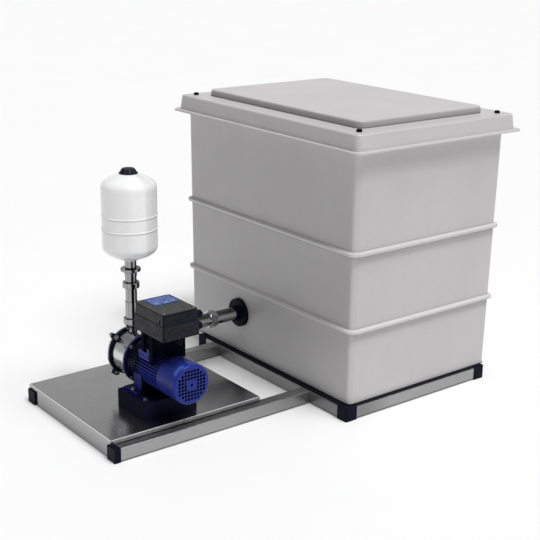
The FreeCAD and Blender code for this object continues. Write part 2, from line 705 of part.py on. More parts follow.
# ---------------------------------------------------------------------------
# Pump tray: folded sheet over the rails
# ---------------------------------------------------------------------------
t0 = trz - trt
tray = fuse([box(sx0, trx1, try0, try1, t0, trz),
             box(sx0, trx1, try0, try0 + trt, sz1, t0), box(sx0, trx1, try1 - trt, try1, sz1, t0),
             box(sx0, sx0 + trt, try0, try1, sz1 + 0.3, t0), box(trx1 - trt, trx1, try0, try1, sz1, t0),
             box(sx0, sx0 + trt, ra + conn / 2 + 0.4, rb - conn / 2 - 0.4, tz, sz1 + 1)])
hole_x = [ax - 76, ax + 76]
tray_holes = [cyl(4.4, trz - 20, trz + 20, "z", (x, y)) for x in hole_x for y in (ply0 + 14, ply1 - 14)]
keep(cut(tray, tray_holes, "pump_tray"))

# plinth, motor foot and hex screws
pla = box(ax - plw, ax + plw, ply0, ply1, trz, plz)
plb = box(ax - plw + 4, ax + plw - 4, ply0 + 4, ply1 - 4, trz - 5, plz - 4)
foot_y0, foot_y1 = by0 - 49, by0 + 24
scr_a = [(ax - 70, ply0 + 24), (ax + 70, ply0 + 24)]
scr_b = [(ax - 65, foot_y0 + 34), (ax + 65, foot_y0 + 34)]
keep(cut(pla, [plb] + [cyl(4.2, plz - 10, plz + 10, "z", c) for c in scr_a + scr_b], "pump_plinth"))
saddle = fuse([box(ax - 74, ax + 74, foot_y0, foot_y1, plz, plz + 6),
               box(ax - 55, ax - 50, foot_y0 + 6, by0 - 1, plz + 6, az - 12), box(ax + 50, ax + 55, foot_y0 + 6, by0 - 1, plz + 6, az - 12),
               box(ax - 50, ax + 50, foot_y0 + 20, foot_y0 + 26, plz + 6, az - 40)])
keep(cut(saddle, [cyl(finr + 0.2, foot_y0 - 5, foot_y1 + 5, "y", (ax, az)), cyl(brr + 0.4, by0 - 0.4, by1 + 5, "y", (ax, az))] +
         [cyl(4.2, plz - 10, plz + 10, "z", c) for c in scr_b], "motor_foot"))
screws = []
for c in scr_a:
    screws.append(fuse([cyl(3.5, plz - 16, plz, "z", c), cyl(6.8, plz, plz + 1.4, "z", c), hexa(6.2, plz + 1.4, plz + 6.4, "z", c)]))
for c in scr_b:
    screws.append(fuse([cyl(3.5, plz - 12, plz + 6, "z", c), cyl(6.8, plz + 6, plz + 7.4, "z", c), hexa(6.2, plz + 7.4, plz + 12.4, "z", c)]))

# ---------------------------------------------------------------------------
# Motor: finned housing, stator, end shield, bearings, fan cover
# ---------------------------------------------------------------------------
P0 = (ax, 0, az)                              # profiles along +Y, measured from Y = 0
b = new_body("housing_casting", P0, ROT["y"])
s = sketch(b, "XZ_Plane")
outline(s, [(stbr, cy1 + 1), (corer, cy1 + 1), (corer, by0 - 12), (finr - 1, by0 - 10), (finr - 1, by0),
            (17.05, by0), (17.05, by0 - 11), (stbr, by0 - 11)])
revolve(b, s)
s = sketch(b, "XY_Plane", by0 - 8)
outline(s, [(corer - 2, -fint / 2), (finr, -fint / 2), (finr, fint / 2), (corer - 2, fint / 2)])
fin = pad(b, s, (by0 - 8) - (cy1 + 3), rev=True)
pol = b.newObject("PartDesign::PolarPattern", uid("polar"))
pol.Originals = [fin]
pol.Axis = ([o for o in b.Origin.OriginFeatures if o.Role == "Z_Axis"][0], [""])
pol.Angle = 360
pol.Occurrences = fincount
b.Tip = pol
b.Label = "housing_casting"
pads = [box(ax - 56, ax - 35, -146, -92, az + 20, az + 60), box(ax + 41, ax + 56, -146, -92, az + 20, az + 60)]
gaps = [box(ax - 57, ax - 52, -150, -90, az + z, az + z + 3) for z in (44, 51)] + [box(ax + 52, ax + 57, -150, -90, az + z, az + z + 3) for z in (44, 51)]
bosses = cut(fuse(pads), [cyl(corer - 1, -160, -80, "y", (ax, az)), box(ax - 61, ax - 43, -160, -80, az + 10, az + 38), box(ax + 43, ax + 61, -160, -80, az + 10, az + 38)] + gaps)
keep(fuse([b, bosses], "motor_housing"))
keep(spun("motor_stator", [(30, -160), (32, -172), (41, -172), (stbr - 0.05, -160), (stbr - 0.05, -86), (41, -74), (32, -74), (30, -86)], "y", P0))
keep(spun("motor_end_shield", [(17.05, cy1 - 5), (24, cy1 - 5), (30, cy1 - 2), (corer + 2, cy1 - 2), (corer + 2, cy1 + 0.9), (stbr - 0.1, cy1 + 0.9),
                               (stbr - 0.1, cy1 + 4), (24, cy1 + 4), (24, cy1 + 8), (17.05, cy1 + 8)], "y", P0))
keep(group([spun(uid("bearing"), tube_rings(shr + 0.04, Q.wrap(17), cy1 - 4, cy1 + 7), "y", P0),
            spun(uid("bearing"), tube_rings(shr + 0.04, Q.wrap(17), by0 - 11, by0 - 1), "y", P0)], "motor_bearings"))

# fan cover: a deep cup with a grid of round holes in its face
b = new_body("fan_cover", P0, ROT["y"])
s = sketch(b, "XZ_Plane")
outline(s, [(0, cy0), (covr - 7, cy0), (covr, cy0 + 7, 7, 1), (covr, cy1 - 0.3), (covr - covt, cy1 - 0.3), (covr - covt, cy0 + 7),
            (covr - 7, cy0 + covt, 5.5, -1), (0, cy0 + covt)])
revolve(b, s)
s = sketch(b, "XY_Plane", cy0 + 5)
ring(s, 0, 0, 4)
pitch = dim("hole_pitch", 10.2, "fan cover, pitch of the holes")
doc.recompute()
for i in range(-4, 5):
    for j in range(-4, 5):
        if max(abs(i), abs(j)) > 1 and math.hypot(i, j) * pitch.v < 46.5:
            ring(s, pitch * i, pitch * j, 3.7)
pocket(b, s, 12)
keep(b)

# rotating parts: shaft, rotor core, impellers, seal ring and fan
keep(spun("pump_shaft", [(0, -262), (5.5, -262), (shr - 0.5, -261), (shr - 0.5, cy1 - 6), (shr, cy1 - 6), (shr, -88), (shr, 46), (0, 46)], "y", P0))
keep(spun("motor_rotor", [(shr, -158), (29.4, -158), (29.4, -88), (shr, -88)], "y", P0))
imp = []
for k in range(3):
    y0 = -6 + 18 * k
    imp.append(spun(uid("impeller"), [(shr, y0), (12, y0), (14, y0 + 4), (impr, y0 + 4), (impr, y0 + 13), (22, y0 + 14.5), (20, y0 + 12.5),
                                      (impr - 3, y0 + 11), (impr - 3, y0 + 6), (shr, y0 + 6)], "y", P0))
keep(group(imp, "impellers"))
keep(spun("mechanical_seal", [(shr, -30), (15, -30), (15, -22), (11, -21), (11, -10), (shr, -10)], "y", P0))
blades = []
for k in range(7):
    o = doc.addObject("Part::Box", uid("blade"))
    o.Length, o.Width, o.Height = 38, 2, 22
    a = 360.0 * k / 7
    # local frame: X along the radius, Z along the shaft
    r_ = ROT["y"].multiply(Rotation(Vector(0, 0, 1), a))
    off = r_.multVec(Vector(13, -1, 0))
    o.Placement = Placement(Vector(ax.v + off.x, -258 + off.y, az.v + off.z), r_)
    o.setExpression("Placement.Base.x", (ax + off.x).t)
    o.setExpression("Placement.Base.z", (az + off.z).t)
    blades.append(o)
keep(fuse([spun(uid("hub"), [(shr - 0.5, -260), (15, -260), (15, -238), (51, -237), (51, -235), (shr - 0.5, -235)], "y", P0)] + blades, "cooling_fan"))

# bracket between motor and pump, casing, diffusers and end cover
brk = spun(uid("bracket"), [(20, by0 + 6), (11, by0 + 6), (11, by0), (corer + 5, by0), (corer + 7, by0 + 3), (corer + 11, by0 + 15), (brr - 14, by1 - 8), (brr - 1, by1 - 8),
                            (brr, by1 - 7, 1, 1), (brr, by1), (20, by1)], "y", P0)
tie_a = [math.radians(45 + 90 * k) for k in range(4)]
flange_c = [(ax + 68.4 * math.cos(a), az + 68.4 * math.sin(a)) for a in tie_a]
keep(cut(brk, [cyl(3.7, by1 - 10, by1 + 1, "y", c) for c in flange_c], "motor_bracket"))
for c in flange_c:
    screws.append(fuse([cyl(3.5, by1 - 8, by1 + 4.5, "y", c), cyl(6.8, by1 - 9.4, by1 - 8, "y", c), hexa(6.2, by1 - 14.4, by1 - 9.4, "y", c)]))
keep(group(screws, "hex_screws"))
cas = spun("casing_shell", [(casr - cast, by1 + 0.05), (brr - 1.4, by1 + 0.05), (brr - 1.4, by1 + 6), (casr, by1 + 8), (casr, cey - 4), (flr, cey - 4), (flr, cey),
                            (casr - cast, cey)], "y", P0)
keep(cut(cas, [cyl(11.95, az + 40, az + 90, "z", (ax, ry)), cyl(15.9, az + 65.7, az + 90, "z", (ax, ry))] + [cyl(3.7, by1 - 1, by1 + 5, "y", c) for c in flange_c], "pump_casing"))
keep(spun("stage_diffusers", [(casr - cast - 0.1, 48), (12.5, 48), (12.5, 45), (49, 45), (49, 30), (24, 30), (24, 27), (49, 27), (49, 12), (24, 12), (24, 9),
                              (49, 9), (49, -9), (16, -9), (16, -12), (51, -12), (51, 42), (casr - cast - 0.1, 42)], "y", P0))
tie_c = [(ax + tier * math.cos(a), az + tier * math.sin(a)) for a in tie_a]
band = spun(uid("band"), [(casr + 0.3, cey - 7.5), (flr + 3.4, cey - 7.5), (flr + 4, cey - 6.9), (flr + 4, cey - 0.1), (flr + 0.3, cey - 0.1), (flr + 0.3, cey - 4.1), (casr + 0.3, cey - 4.1)], "y", P0)
lugs = []
for a, c in zip(tie_a, tie_c):
    lug = doc.addObject("Part::Box", uid("lug"))
    lug.Length, lug.Width, lug.Height = tier.v - flr.v - 1, 18, 14
    r2 = ROT["y"].multiply(Rotation(Vector(0, 0, 1), math.degrees(a)))
    off = r2.multVec(Vector(flr.v + 1, -9, 0))
    lug.Placement = Placement(Vector(ax.v + off.x, cey.v - 14.1 + off.y, az.v + off.z), r2)
    lugs.append(lug)
    lugs.append(cyl(9, cey - 14.1, cey - 0.1, "y", c))
keep(cut(fuse([band] + lugs), [cyl(4.2, cey - 20, cey + 2, "y", c) for c in tie_c] +
         [cyl(flr + 0.3, cey - 4.1, cey, "y", (ax, az)), cyl(casr + 0.3, cey - 30, cey, "y", (ax, az)), box(ax - 16, ax + 16, cey - 30, cey + 2, az + 50, az + 90)], "casing_clamp"))
cov = spun(uid("end_cover"), [(sb, cey + 4), (40, cey + 4), (52, cey), (ringr, cey), (ringr, cey + ringt - 2), (ringr - 2, cey + ringt, 2, 1), (52, cey + ringt),
                               (40, cey + ringt + 4), (25, cey + ringt + 4), (25, sy - elr - 11), (sb, sy - elr - 11)], "y", P0)
keep(cut(fuse([cov] + [cyl(9, cey, cey + ringt, "y", c) for c in tie_c]), [cyl(4.2, cey - 2, cey + ringt + 2, "y", c) for c in tie_c], "casing_end_cover"))
cb, plugs = [], []
for c in tie_c:
    cb.append(fuse([cyl(4, cey - 22, cey + ringt, "y", c), hexa(7.5, cey + ringt, cey + ringt + 5.5, "y", c), hexa(7.5, cey - 20.6, cey - 14.1, "y", c)]))
keep(group(cb, "tie_bolts"))
for sgn, zz in ((-1, 40), (-1, -46)):
    # vent plug above and drain plug below, on the casing's outer side
    yy = by1 + 15.2
    rr = math.sqrt(casr.v ** 2 - zz ** 2)
    ang = math.degrees(math.atan2(zz, sgn * rr))
    r2 = Rotation(Vector(0, 1, 0), -ang).multiply(ROT["x"])
    start = Vector(ax.v, yy.v, az.v) + r2.multVec(Vector(0, 0, casr.v + 0.15))
    pc = doc.addObject("Part::Cylinder", uid("plug"))
    pc.Radius, pc.Height = 6.5, 3
    pc.Placement = Placement(start, r2)
    ph = doc.addObject("Part::Prism", uid("plug"))
    ph.Polygon, ph.Circumradius, ph.Height = 6, 5.6, 7
    ph.Placement = Placement(start, r2)
    plugs.append(fuse([pc, ph]))
keep(group(plugs, "casing_plugs"))

# ---------------------------------------------------------------------------
# Speed drive on a pedestal over the motor
# ---------------------------------------------------------------------------
hw = ivw / 2
legs = [box(ax + a, ax + a + 9, -166, -152, az + 34, ivz0) for a in (-56, 47)] + [box(ax + a, ax + a + 9, -122, -108, az + 60.1, ivz0) for a in (-56, 47)]
keep(cut(fuse([box(ax - 34, ax + 40, -182, -112, az + 34, ivz0), box(ax - 56, ax + 56, -170, -104, ivz0 - 6, ivz0)] + legs),
         [cyl(finr + 0.15, -200, -90, "y", (ax, az)), box(ax - 26, ax + 26, -170, -124, az + 56, ivz0 + 1)], "terminal_pedestal"))
lower = cut(box(ax - hw, ax + hw, ivy0, ivy1, ivz0, ivs), [box(ax - hw + 4, ax + hw - 4, ivy0 + 4, ivy1 - 4, ivz0 + 5, ivs + 1),
                                                      box(ax - 24, ax + 24, -168, -126, ivz0 - 1, ivz0 + 6)], "drive_base")
keep(lower)
b = new_body("drive_cover", (0, 0, ivs))
s = sketch(b, "XY_Plane")
rrect(s, ax - hw, ax + hw, ivy0, ivy1, 9)
p = pad(b, s, ivz1 - ivs)
p.TaperAngle = -4
f = fillet(b, p, 2.0, lambda e: abs(e.BoundBox.ZMin - 34) < 1e-6 and abs(e.BoundBox.ZMax - 34) < 1e-6)
s = sketch(b, "XY_Plane")
rrect(s, ax - hw + 9, ax + hw - 9, ivy0 + 9, ivy1 - 9, 11)
pocket(b, s, ivz1 - ivs - 4, rev=True)
b.Label = "cover_shell"
hole_c = [(x, y) for x in (ax - hw + 12, ax + hw - 12) for y in (ivy0 + 11, ivy1 - 11)]
keep(cut(b, [box(ax - hw - 5, ax - hw + 4.5, ivy0 + 14, ivy0 + 22, ivs + 3, ivs + 13), box(ax + hw - 4.5, ax + hw + 5, ivy0 + 14, ivy0 + 22, ivs + 3, ivs + 13)] +
         [cyl(2.2, ivz1 - 13, ivz1 + 2, "z", c) for c in hole_c] + [cyl(3.7, ivz1 - 1, ivz1 + 2, "z", c) for c in hole_c], "drive_cover"))
csc = [cut(fuse([cyl(3.5, ivz1 - 1, ivz1 + 1, "z", c), cyl(2, ivz1 - 12, ivz1 - 1, "z", c)]), box(c[0] - 0.6, c[0] + 0.6, c[1] - 2.6, c[1] + 2.6, ivz1 + 0.1, ivz1 + 2)) for c in hole_c]
keep(group(csc, "cover_screws"))
keep(fuse([box(ax - 50, ax + 50, ivy0 + 12, ivy1 - 12, ivz0 + 14, ivz0 + 16), box(ax - 40, ax - 10, -210, -180, ivz0 + 15, ivz0 + 38),
           box(ax + 5, ax + 35, -200, -150, ivz0 + 15, ivz0 + 30), cyl(11, ivz0 + 15, ivz0 + 44, "z", (ax - 25, -140)),
           cyl(11, ivz0 + 15, ivz0 + 44, "z", (ax, -118)), box(ax - 44, ax + 44, -106, -96, ivz0 + 15, ivz0 + 27)], "drive_board"))
kx0, kx1, ky0, ky1 = ax - 34, ax + 46, Q.wrap(-151), Q.wrap(-93)
keys = [("key_run", kx0 + 14), ("key_minus", kx0 + 40), ("key_plus", kx0 + 66)]
pan = box(kx0, kx1, ky0, ky1, ivz1, ivz1 + 1.6)
keep(cut(pan, [box(x - 6.8, x + 6.8, ky0 + 6.7, ky0 + 17.3, ivz1 - 1, ivz1 + 3) for _, x in keys], "keypad_panel"))
for name, x in keys:
    b = new_body(name, (0, 0, ivz1 + 0.8))
    s = sketch(b, "XY_Plane")
    rrect(s, x - 6.4, x + 6.4, ky0 + 7.1, ky0 + 16.9, 2)
    pad(b, s, 1.6)
    keep(b)
gl = []
for axis, c, a0 in (("x", (-214, 361), ax + hw), ("x", (-214, 326), ax + hw), ("-y", None, None)):
    if axis == "x":
        gl.append(fuse([hexa(13.5, a0, a0 + 6, "x", c), cyl(11.5, a0 + 6, a0 + 15, "x", c), cone(11.5, 7.5, a0 + 15, a0 + 19, "x", c)]))
    else:
        c = (ax + 14, 283)
        gl.append(fuse([hexa(13.5, -188, -182, "y", c), cyl(11.5, -199, -188, "y", c), cone(7.5, 11.5, -203, -199, "y", c)]))
keep(group(gl, "cable_glands"))

# ---------------------------------------------------------------------------
# Riser: nipple, non-return valve, pipe with its nut, connector, vessel
# ---------------------------------------------------------------------------
RZ = (ax, ry, 0)
nipple = (spun("nipple", [(8.5, az + 65), (11.9, az + 65), (11.9, az + 80), (8.5, az + 80)], "z", RZ))
keep(spun("check_valve_body", [(11.95, 250), (15, 250), (15.6, 251), (15.6, 257.4), (15, 258.4), (14.2, 259), (14.2, 261), (24.2, 274), (24.8, 275), (24.8, 291), (23.8, 292.4), (18.4, 292.4), (18.4, 344),
                               (12, 344), (12, 332), (14.5, 330), (14.5, 304), (10, 301), (8.5, 299), (8.5, 265), (11.95, 264.2)], "z", RZ))
keep(spun("check_valve_poppet", [(0, 302.2), (9, 302.2), (12.4, 305.6), (12.4, 308), (3, 309), (3, 322), (0, 322)], "z", RZ))
keep(group([nipple, spun("upper_pipe", tube_rings(pb, pr_, 344.2, 403.6), "z", RZ)], "riser_pipes"))
keep(spun("riser_nut", [(pr_ + 0.1, 386), (23.6, 386), (25, 387.4), (25, 402.6), (23.6, 404), (pr_ + 0.1, 404)], "z", RZ))
con_up = spun("connector_core", [(12, 404.2), (16.85, 404.2), (16.85, 437.5), (28.6, 437.5), (30, 438.9), (30, 445.1), (28.6, 446.5), (17.2, 446.5), (17.2, 469.6), (12.8, 469.6), (12.8, 479),
                                 (10, 479), (10, 452), (12, 449)], "z", RZ)


def slant(r, t0, t1, z):
    """Cylinder square to the riser, pointing back at 60 degrees from X, between two distances from its axis."""
    o = doc.addObject("Part::Cylinder", uid("branch"))
    o.Radius = r if not isinstance(r, Q) else bind(o, "Radius", r)
    o.Height = t1 - t0
    d = Vector(0.5, math.sqrt(0.75), 0)
    o.Placement = Placement(Vector(ax.v + d.x * t0, ry.v + d.y * t0, z), Rotation(Vector(0, 0, 1), d))
    return o


keep(cut(fuse([con_up, slant(18.4, 9, 46, 423.5)]),
         [slant(portr, 46 - portl.v, 47, 423.5), slant(10, 0, 47, 423.5), cyl(12, 405, 449, "z", (ax, ry)), cyl(25.3, 400, 404.2, "z", (ax, ry))], "vessel_connector"))

# vessel: two pressed halves with a lapped band between two beads
dz = root((vc - vk) * (vc - vk) - (vr - vk) * (vr - vk))     # crown centre below knuckle centre
hd = vc - dz                                               # dome height
tr_ = (vr - vk) * vc / (vc - vk)                             # tangent point
tzz = dz * vc / (vc - vk) - dz
vi = vr - vt
vki, vci = vk - vt, vc - vt
tri = (vr - vk) * vci / (vc - vk)
tzi = dz * vci / (vc - vk) - dz
za, zb = vz0 + hd, vz1 - hd                                  # knuckle centres
mid = 589.0
nz = root(vc * vc - 17.2 * 17.2) - dz                        # dome height at the neck
nzi = root(vci * vci - 13.0 * 13.0) - dz
keep(spun("vessel_shell_lower", [(13, 469.8), (17.2, 469.8), (17.2, za - nz), (tr_, za - tzz, vc, 1), (vr, za, vk, 1), (vr, 566),
                                 (vr + 1.5, 569), (vr, 572), (vr, mid), (vi, mid), (vi, za), (tri, za - tzi, vki, -1), (13, za - nzi, vci, -1)], "z", RZ))
vtz = root(vc * vc - 5.0 * 5.0) - dz
vtzi = root(vci * vci - 5.0 * 5.0) - dz
keep(spun("vessel_shell_upper", [(vi, mid + 0.05), (vr, mid + 0.05), (vr, 606), (vr + 1.5, 609), (vr, 612), (vr, zb), (tr_, zb + tzz, vk, 1), (5, zb + vtz, vc, 1),
                                 (5, zb + vtzi), (tri, zb + tzi, vci, -1), (vi, zb, vki, -1)], "z", RZ))
keep(spun("vessel_bladder", [(10.2, 480), (12.6, 480), (12.6, 490), (40, 497), (60, 508), (70, 527), (74, 560), (72, 600), (60, 640), (35, 668), (0, 680), (0, 677.5), (34, 665.5),
                             (58, 638), (69.5, 599), (71.5, 560), (67.5, 528), (58.5, 510), (39, 499.4), (10.2, 492.4)], "z", RZ))
keep(spun("air_valve", [(0, 720), (4.95, 720), (4.95, 732.5), (7, 732.5), (7, 734.6), (3.9, 734.6), (3.9, 739.4), (0, 739.4)], "z", RZ))
keep(spun("vessel_cap", [(24.5, 729.75), (27.5, 729.3), (27.3, 731.4), (25.4, 732.4), (19.4, 742), (17.8, 743.4), (0, 743.4), (0, 740.4), (16, 740.4), (22.2, 732.8)], "z", RZ))

# ---------------------------------------------------------------------------
# Check every object, then write one file for each piece
# ---------------------------------------------------------------------------
doc.recompute()
bad = []
for o in doc.Objects:
    st = [str(k) for k in o.State]
    if "Invalid" in st or "Error" in st:
        bad.append("%s (%s): %s" % (o.Name, o.Label, st))
for name, o in nodes.items():
    sh = o.Shape
    if sh.isNull() or not sh.isValid() or not sh.Solids:
        bad.append("%s: shape is null, not valid or holds no solid" % name)
if bad:
    raise RuntimeError("; ".join(bad))
if len(nodes) > 60:
    raise RuntimeError("too many pieces: %d" % len(nodes))
os.makedirs("parts", exist_ok=True)
low, high = [1e9] * 3, [-1e9] * 3
for name, o in nodes.items():
    o.Shape.exportStep("parts/%s.step" % name)
    bb = o.Shape.BoundBox
    low = [min(a, c) for a, c in zip(low, (bb.XMin, bb.YMin, bb.ZMin))]
    high = [max(a, c) for a, c in zip(high, (bb.XMax, bb.YMax, bb.ZMax))]
    print("%-22s solids %2d  volume %10.1f cm3  x %8.2f %8.2f  y %8.2f %8.2f  z %7.2f %7.2f" % (
        name, len(o.Shape.Solids), o.Shape.Volume / 1000.0, bb.XMin, bb.XMax, bb.YMin, bb.YMax, bb.ZMin, bb.ZMax))
print("pieces", len(nodes), "box", low, high)
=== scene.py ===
import bpy, bmesh, json, math
from mathutils import Vector, Matrix

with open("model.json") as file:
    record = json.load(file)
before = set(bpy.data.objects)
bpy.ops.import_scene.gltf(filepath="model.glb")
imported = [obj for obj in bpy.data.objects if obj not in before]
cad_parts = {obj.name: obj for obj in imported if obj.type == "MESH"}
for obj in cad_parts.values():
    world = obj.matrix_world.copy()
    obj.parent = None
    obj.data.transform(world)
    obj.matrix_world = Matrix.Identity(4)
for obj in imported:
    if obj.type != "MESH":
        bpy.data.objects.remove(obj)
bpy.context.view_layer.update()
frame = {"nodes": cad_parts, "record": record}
N = frame["nodes"]
SLOT = {s["node"]: s["material_slot"] for s in frame["record"]["subparts"]}
BODY = {n: b for b, l in frame["record"]["behaviour"]["bodies"].items() for n in l}
scene = bpy.context.scene
MM = 0.001


# ---------------------------------------------------------------- materials
class Mat:
    """Small helper around a Principled material built from nodes."""

    def __init__(self, name, base=(0.8, 0.8, 0.8), metallic=0.0, rough=0.5, **sockets):
        self.m = bpy.data.materials.new(name)
        self.m.use_nodes = True
        self.t = self.m.node_tree
        self.t.nodes.clear()
        self.out = self.t.nodes.new("ShaderNodeOutputMaterial")
        self.b = self.t.nodes.new("ShaderNodeBsdfPrincipled")
        self.t.links.new(self.b.outputs[0], self.out.inputs[0])
        self.b.inputs["Base Color"].default_value = (*base[:3], 1)
        self.b.inputs["Metallic"].default_value = metallic
        self.b.inputs["Roughness"].default_value = rough
        for k, v in sockets.items():
            self.b.inputs[k.replace("_", " ")].default_value = v
        self.coord = None
        self.last_normal = None

    def node(self, kind, **props):
        n = self.t.nodes.new(kind)
        for k, v in props.items():
            setattr(n, k, v)
        return n

    def link(self, a, b):
        self.t.links.new(a, b)

    def obj(self, scale=(1, 1, 1), rot=(0, 0, 0)):
        if self.coord is None:
            self.coord = self.node("ShaderNodeTexCoord")
        mp = self.node("ShaderNodeMapping")
        mp.inputs["Scale"].default_value = scale
        mp.inputs["Rotation"].default_value = rot
        self.link(self.coord.outputs["Object"], mp.inputs["Vector"])
        return mp.outputs["Vector"]

    def noise(self, scale, detail=3.0, rough=0.55, vec=None, distortion=0.0, stretch=(1, 1, 1)):
        n = self.node("ShaderNodeTexNoise")
        n.inputs["Scale"].default_value = scale
        n.inputs["Detail"].default_value = detail
        n.inputs["Roughness"].default_value = rough
        n.inputs["Distortion"].default_value = distortion
        self.link(vec if vec is not None else self.obj(stretch), n.inputs["Vector"])
        return n.outputs["Fac"]

    def ramp(self, fac, stops, interp="LINEAR"):
        r = self.node("ShaderNodeValToRGB")
        r.color_ramp.interpolation = interp
        e = r.color_ramp.elements
        while len(e) > 1:
            e.remove(e[-1])
        e[0].position, e[0].color = stops[0][0], self.rgba(stops[0][1])
        for p, c in stops[1:]:
            k = e.new(p)
            k.color = self.rgba(c)
        self.link(fac, r.inputs["Fac"])
        return r.outputs["Color"]

    @staticmethod
    def rgba(c):
        if isinstance(c, (int, float)):
            return (c, c, c, 1)
        return (*c[:3], 1)

    def maprange(self, fac, a, b, lo, hi):
        r = self.node("ShaderNodeMapRange")
        r.inputs[1].default_value, r.inputs[2].default_value = a, b
        r.inputs[3].default_value, r.inputs[4].default_value = lo, hi
        self.link(fac, r.inputs[0])
        return r.outputs[0]

    def math(self, op, a, b=None, clamp=False):
        r = self.node("ShaderNodeMath", operation=op)
        r.use_clamp = clamp
        for i, v in enumerate((a, b)):
            if v is None:
                continue
            if isinstance(v, (int, float)):
                r.inputs[i].default_value = v
            else:
                self.link(v, r.inputs[i])
        return r.outputs[0]

    def mix(self, fac, a, b, blend="MIX"):
        r = self.node("ShaderNodeMix", data_type="RGBA", blend_type=blend)
        for sock, v in ((r.inputs[0], fac), (r.inputs[6], a), (r.inputs[7], b)):
            if isinstance(v, (int, float)):
                sock.default_value = v if sock == r.inputs[0] else self.rgba(v)
            elif isinstance(v, tuple):
                sock.default_value = self.rgba(v)
            else:
                self.link(v, sock)
        return r.outputs[2]

    def base(self, col):
        self.link(col, self.b.inputs["Base Color"])

    def rough(self, fac):
        self.link(fac, self.b.inputs["Roughness"])

    def bump(self, height, strength=0.3, dist=0.0005):
        n = self.node("ShaderNodeBump")
        n.inputs["Strength"].default_value = strength
        n.inputs["Distance"].default_value = dist
        self.link(height, n.inputs["Height"])
        if self.last_normal is not None:
            self.link(self.last_normal, n.inputs["Normal"])
        self.last_normal = n.outputs["Normal"]
        self.link(self.last_normal, self.b.inputs["Normal"])

    def span(self, v, a, b, soft=0.0003):
        """1 where v lies between a and b, with a soft edge."""
        return self.math("MULTIPLY", self.maprange(v, a - soft, a, 0.0, 1.0), self.maprange(v, b, b + soft, 1.0, 0.0))

    def sep(self):
        if self.coord is None:
            self.coord = self.node("ShaderNodeTexCoord")
        s = self.node("ShaderNodeSeparateXYZ")
        self.link(self.coord.outputs["Object"], s.inputs[0])
        return s.outputs

    def edge(self, lo=0.50, hi=0.56):
        """0 on flats, 1 on worn convex edges (pointiness)."""
        g = self.node("ShaderNodeNewGeometry")
        return self.maprange(g.outputs["Pointiness"], lo, hi, 0.0, 1.0)


def brushed(name, base, rough, stretch, streak=0.16, anis=0.0, bumps=0.12):
    m = Mat(name, base, 1.0, rough)
    fine = m.noise(60, 4, 0.6, stretch=stretch)
    soft = m.noise(5, 3, 0.5)
    d = tuple(c * (1 - streak) for c in base)
    l = tuple(min(1, c * (1 + streak)) for c in base)
    col = m.mix(m.ramp(fine, [(0.3, 0.0), (0.7, 1.0)]), d, l)
    col = m.mix(m.maprange(soft, 0.35, 0.7, 0.0, 0.25), col, tuple(c * 0.85 for c in base))
    m.base(col)
    m.rough(m.math("ADD", m.maprange(fine, 0.3, 0.7, -0.05, 0.07), m.maprange(soft, 0.3, 0.7, rough - 0.04, rough + 0.06)))
    m.bump(fine, bumps, 0.00006)
    if anis:
        m.b.inputs["Anisotropic"].default_value = anis
    return m


def plastic(name, base, rough=0.45, grain=1400, gstr=0.25, spec=0.5):
    m = Mat(name, base, 0.0, rough)
    m.b.inputs["Specular IOR Level"].default_value = spec
    g = m.noise(grain, 2, 0.5)
    w = m.noise(18, 4, 0.6)
    lift = tuple(min(1, c * 1.5 + 0.001) for c in base)
    m.base(m.mix(m.maprange(w, 0.4, 0.75, 0.0, 0.6), tuple(base), lift))
    m.rough(m.math("ADD", m.maprange(w, 0.3, 0.7, rough - 0.06, rough + 0.08), m.maprange(g, 0.3, 0.7, -0.04, 0.04)))
    m.bump(g, gstr, 0.00008)
    return m


def enamel(name, base, rough=0.3, peel=420, pstr=0.16, coat=0.35):
    m = Mat(name, base, 0.0, rough)
    m.b.inputs["Coat Weight"].default_value = coat
    m.b.inputs["Coat Roughness"].default_value = 0.12
    p = m.noise(peel, 2, 0.5)
    w = m.noise(14, 5, 0.6)
    dark = tuple(c * 0.72 for c in base)
    m.base(m.mix(m.maprange(w, 0.35, 0.7, 0.0, 0.7), tuple(base), dark))
    m.rough(m.maprange(w, 0.3, 0.7, rough - 0.06, rough + 0.1))
    m.bump(p, pstr, 0.00012)
    return m


def tubular(name, base, rough, axis, centre, radius, stops, fine=(6, 6, 1)):
    """Polished pipe: painted reflection as soft lengthwise bands of brightness round the pipe, plus fine polishing
    lines.

    stops: (angle in turns, brightness) round a vertical axis, or
    (height in radii from -1 to 1 mapped to 0..1, brightness) for a level pipe.
    """
    m = Mat(name, base, 1.0, rough)
    x, y, z = m.sep()
    if axis == "z":
        a = m.math("ARCTAN2", m.math("SUBTRACT", y, centre[1]), m.math("SUBTRACT", x, centre[0]))
        f = m.maprange(a, -math.pi, math.pi, 0.0, 1.0)
    else:
        f = m.maprange(m.math("SUBTRACT", z, centre[2]), -radius, radius, 0.0, 1.0)
    w = m.noise(24, 3, 0.5)
    f = m.math("ADD", f, m.maprange(w, 0.3, 0.7, -0.006, 0.006))
    # painted reflection: the bands set the pipe's brightness round it or across it
    band = m.ramp(f, stops, "EASE")
    lines = m.noise(60, 4, 0.6, stretch=fine)
    col = m.mix(1.0, tuple(base), band, "MULTIPLY")
    col = m.mix(m.maprange(lines, 0.35, 0.65, 0.0, 0.16), col, tuple(c * 0.6 for c in base))
    m.base(col)
    m.rough(m.math("ADD", m.maprange(lines, 0.3, 0.7, -0.03, 0.04), m.maprange(w, 0.3, 0.7, rough - 0.03, rough + 0.05)))
    m.bump(lines, 0.05, 0.00005)
    return m


